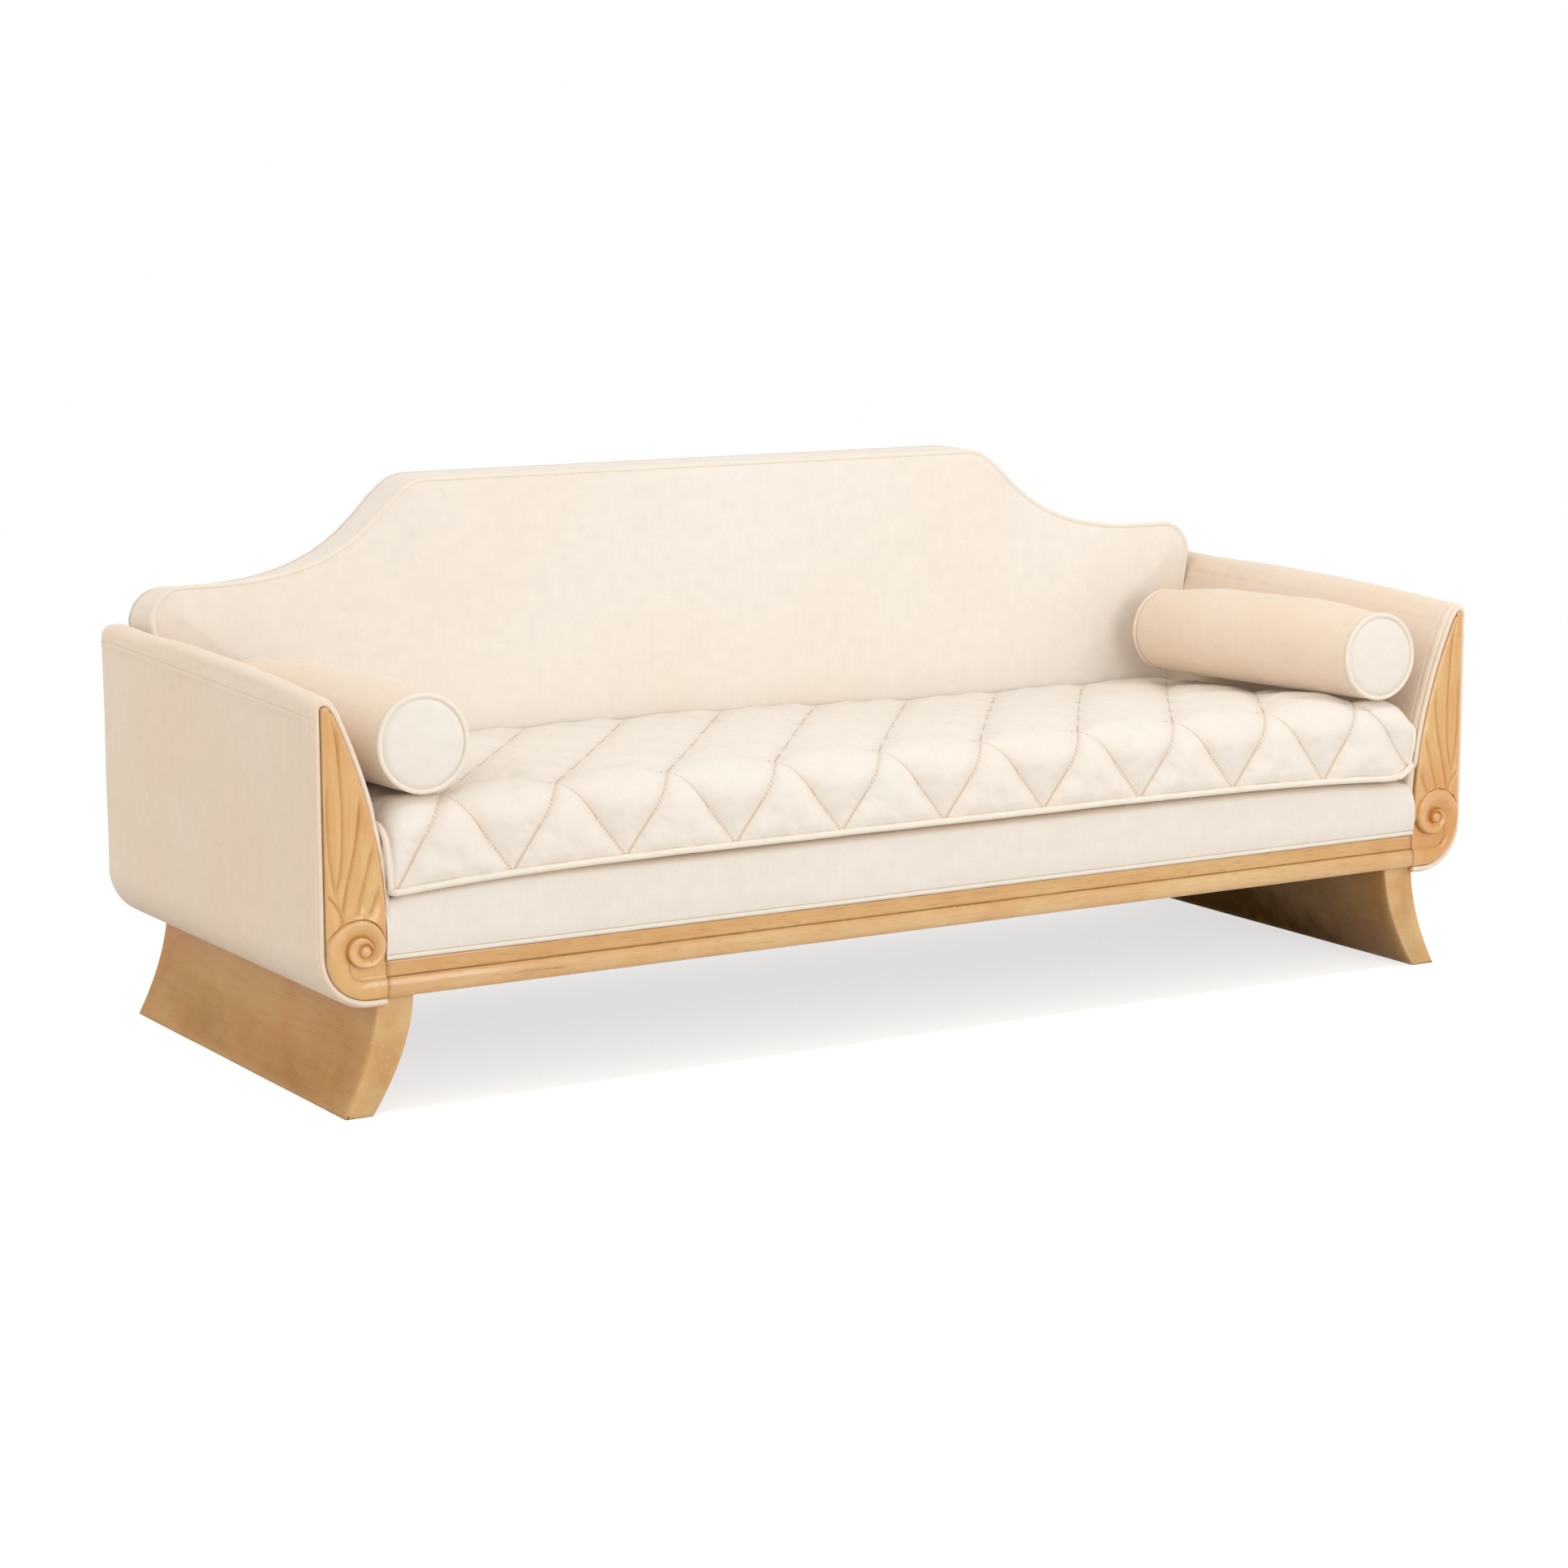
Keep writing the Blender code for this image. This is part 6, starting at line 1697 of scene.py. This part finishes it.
    def welts(self, cord):
        """The closed welt round the bottom, and one on each end boxing."""
        radius, end_radius = BOTTOM_CORD * cord, END_CORD * cord
        offset = radius + GAP
        depth = cushion_depth()
        y = np.linspace(0, depth, 40)
        turn = np.radians(np.linspace(-90, 0, 7))
        right = [(cushion_end(0.0) + offset * math.cos(a), offset * math.sin(a)) for a in turn]
        right += [(cushion_end(v) + offset, v) for v in y[1:-1]]
        right += [(cushion_end(depth) + offset * math.cos(-a), depth + offset * math.sin(-a))
                  for a in turn[::-1]]
        right = np.array(right)
        front = np.stack([np.linspace(-0.93, 0.93, 60), np.full(60, -offset)], axis=1)
        loop = np.concatenate([front, right, right[::-1] * np.array((-1.0, 1.0))])
        loop[:, 0] -= foot_round(loop[:, 0], loop[:, 1], 0.0)
        wave = 0.0008 * unevenness(loop[:, 0], loop[:, 1], 0.2, 71)
        rise = GAP + radius + np.maximum(wave, -0.0002) + front_lift(loop[:, 0], loop[:, 1])
        path = on_seat(loop[:, 0], loop[:, 1] - CUSHION_OVERHANG, rise)
        welt("cushion_bottom_cord", path, "bench_cushion", "cushion_bottom_welt", radius, closed=True)
        for name, side in SIDES:
            y, z, ny, nz = cushion_profile(np.linspace(0, 1, 160), np.full(160, CUSHION_EDGE))
            keep = z > 1.2 * radius
            x = side * (cushion_end(y) + CUSHION_SPREAD * smooth(0.0, CUSHION_EDGE, z) + end_radius + GAP)
            x = x - foot_round(x, y, z)
            z = z + front_lift(x, y, z)
            path = on_seat(x, y - ny * end_radius - CUSHION_OVERHANG, z - nz * end_radius + GAP)[keep]
            welt(f"cushion_end_cord_{name}", path, "bench_cushion", f"cushion_end_welt_{name}", end_radius)

    def stitches(self, top, i, j, sizes):
        """Rows of thread along the quilting."""
        normal = grid_normals(top)
        normal *= np.sign((normal * np.array((0.0, -0.5, 1.0))).sum(axis=2, keepdims=True))
        thread = top + normal * 0.0002
        period = 2 * self.steps
        paths = []
        for slant in (1, -1):
            lines = i - slant * j
            for value in np.unique(lines[lines % period == 0]):
                on_line = lines == value
                order = np.argsort(j[on_line])
                path = thread[on_line][order]
                if len(path) > self.steps:
                    paths.append(path[1:-1])
        colour = bpy.context.scene.sofa_colours.thread
        values = {"Pitch": sizes.stitch_pitch, "Stitch Length": sizes.stitch_length,
                  "Thread Radius": sizes.thread_radius,
                  "Thread": mottled("quilting_thread", colour, 0.8, 0.0, (900.0, 900.0, 900.0), 0.0002)}
        item = grown("quilting_stitches", stitch_nodes(), paths, False, values)
        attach(item, "bench_cushion")


class SOFA_OT_fill_bolsters(bpy.types.Operator):
    """Fill the two bolsters: round bodies with domed ends and a welt at each end"""

    bl_idname = "sofa.fill_bolsters"
    bl_label = "Bolsters"

    def execute(self, context):
        # Painted shade: the bolster bodies take the darker side copy of the velvet, while their domed ends
        # take the plain velvet
        finish = velvet("velvet_bolster", DEEP, 0.7, 3.2, context.scene.sofa_colours.velvet_shaded_side)
        length = BACK_REACH - BOLSTER_REAR_SPACE - BOLSTER_FRONT
        disc = velvet("velvet_disc", (300.0, 300.0, 300.0), 0.15, 3.0)
        ring_radius = BOLSTER_RADIUS - BOLSTER_WELT
        mid = BOLSTER_WELT + GAP
        share = np.array([0.0, 0.12, 0.25, 0.4, 0.55, 0.68, 0.78, 0.86, 0.91, 0.95, 0.98, 1.0])
        cap_r = share * (ring_radius - 0.0026)
        cap_y = 0.0006 - 0.0050 * (1 - share ** 2.4) + 0.0046 * smooth(0.88, 1.0, share)
        half = list(zip(cap_y, cap_r))
        half += [(mid + 0.0012, ring_radius - 0.0024), (mid + 0.0034, ring_radius - 0.0014)]
        half += [(mid + 0.0050, ring_radius + 0.0004), (mid + 0.0075, ring_radius + 0.0016)]
        half += [(mid + 0.0115, ring_radius + 0.0023)]
        y = np.linspace(0.024, 0.5 * length, 34)
        fullness = (BOLSTER_FULL + 0.0010) * smooth(0.0, 0.30 * length, y)
        half += list(zip(y, BOLSTER_RADIUS - 0.0010 + fullness))
        profile = np.array(half + [(length - v, r) for v, r in half[-2::-1]])
        angles = np.linspace(0, 2 * math.pi, 128, endpoint=False)
        for name, side in SIDES:
            height = self.seat_height(name)
            along, radius = np.broadcast_arrays(profile[:, :1], profile[:, 1:] + 0 * angles[None, :])
            turn = np.broadcast_to(angles[None, :], radius.shape)
            from_end = np.minimum(along, length - along)
            pucker = np.exp(-np.maximum(from_end - 0.010, 0) / 0.014) * (from_end > 0.009)
            radius = radius - 0.0007 * pucker * (0.5 + 0.5 * np.sin(31 * turn + 3 * np.sin(5 * turn + side)))
            body = smooth(0.02, 0.06, from_end)
            radius = radius + 0.0006 * body * unevenness(along, turn * BOLSTER_RADIUS, 0.14, 81 + side)
            radius = np.minimum(radius, BOLSTER_RADIUS + BOLSTER_FULL)
            x = side * BOLSTER_X + radius * np.cos(turn)
            middle = height + np.maximum(profile[:, 1:] - BOLSTER_RADIUS, 0) + BOLSTER_TILT * along / length
            points, faces = tube(on_seat(x, BOLSTER_FRONT + along, middle + radius * np.sin(turn)))
            item = piece(f"bolster_velvet_{name}", points, faces, finish)
            item.data.materials.append(disc)
            for face in item.data.polygons:
                if abs(face.normal.y) > 0.6:
                    face.material_index = 1
            fit(item, f"{name}_bolster", "velvet", f"bolster_{name}")
            ring = np.linspace(0, 2 * math.pi, 120, endpoint=False)
            # The rear welts take the shaded copy too: painted shade
            for spot, y, cover in (("front", mid, None), ("rear", length - mid, finish)):
                path = on_seat(side * BOLSTER_X + ring_radius * np.cos(ring), BOLSTER_FRONT + y,
                               height + BOLSTER_TILT * y / length + ring_radius * np.sin(ring))
                welt(f"bolster_cord_{spot}_{name}", path, f"{name}_bolster", f"bolster_welt_{spot}_{name}",
                     BOLSTER_WELT, closed=True, finish=cover)
        return {"FINISHED"}

    def seat_height(self, name):
        """Height of the bolster's middle over the seat, found from its front welt in the frame."""
        low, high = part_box(f"bolster_welt_front_{name}")
        _, z = off_seat((low[1] + high[1]) / 2, (low[2] + high[2]) / 2)
        return z


class SOFA_OT_finish_frame(bpy.types.Operator):
    """Give the timber, springs, bolts and webbing inside the sofa their finishes"""

    bl_idname = "sofa.finish_frame"
    bl_label = "Hidden frame"

    def execute(self, context):
        colours = context.scene.sofa_colours
        timber = mottled("frame_beech", colours.beech, 0.65, 0.0, (40.0, 5.0, 40.0), 0.0005)
        steel = mottled("spring_steel", colours.steel, 0.38, 1.0, (260.0, 260.0, 260.0), 0.0002)
        jute = mottled("jute_webbing", colours.jute, 0.92, 0.0, (420.0, 420.0, 420.0), 0.0006)
        for name, item in frame["nodes"].items():
            if item.hide_render:
                continue
            if name.startswith(("seat_spring", "trestle_bolt")):
                finish = steel
            elif name == "back_webbing":
                finish = jute
            else:
                finish = timber
            item.data.materials.clear()
            item.data.materials.append(finish)
        return {"FINISHED"}


OPERATORS = (SOFA_OT_stage, SOFA_OT_carve_facings, SOFA_OT_shape_rail, SOFA_OT_shape_trestles,
             SOFA_OT_cover_arms, SOFA_OT_cover_back, SOFA_OT_cover_deck, SOFA_OT_quilt_cushion,
             SOFA_OT_fill_bolsters, SOFA_OT_finish_frame)


class SOFA_PT_maker(bpy.types.Panel):
    """Makes the sofa's pieces one kind at a time"""

    bl_idname = "SOFA_PT_maker"
    bl_label = "Upholstered sofa"
    bl_space_type = "VIEW_3D"
    bl_region_type = "UI"
    bl_category = "Sofa"

    def draw(self, context):
        for settings in (context.scene.sofa_sizes, context.scene.sofa_colours, context.scene.sofa_stage):
            column = self.layout.column()
            for label in settings.bl_rna.properties.keys():
                if label not in ("rna_type", "name"):
                    column.prop(settings, label)
        for operator in OPERATORS:
            self.layout.operator(operator.bl_idname)


CLASSES = (SofaSizes, SofaColours, SofaStage, *OPERATORS, SOFA_PT_maker)


def register():
    for item in CLASSES:
        bpy.utils.register_class(item)
    bpy.types.Scene.sofa_sizes = bpy.props.PointerProperty(type=SofaSizes)
    bpy.types.Scene.sofa_colours = bpy.props.PointerProperty(type=SofaColours)
    bpy.types.Scene.sofa_stage = bpy.props.PointerProperty(type=SofaStage)


def unregister():
    del bpy.types.Scene.sofa_stage
    del bpy.types.Scene.sofa_colours
    del bpy.types.Scene.sofa_sizes
    for item in reversed(CLASSES):
        bpy.utils.unregister_class(item)


def main():
    register()
    bpy.ops.sofa.stage()
    bpy.ops.sofa.carve_facings()
    bpy.ops.sofa.shape_rail()
    bpy.ops.sofa.shape_trestles()
    bpy.ops.sofa.cover_arms()
    bpy.ops.sofa.cover_back()
    bpy.ops.sofa.cover_deck()
    bpy.ops.sofa.quilt_cushion()
    bpy.ops.sofa.fill_bolsters()
    bpy.ops.sofa.finish_frame()


if __name__ == "__main__":
    main()
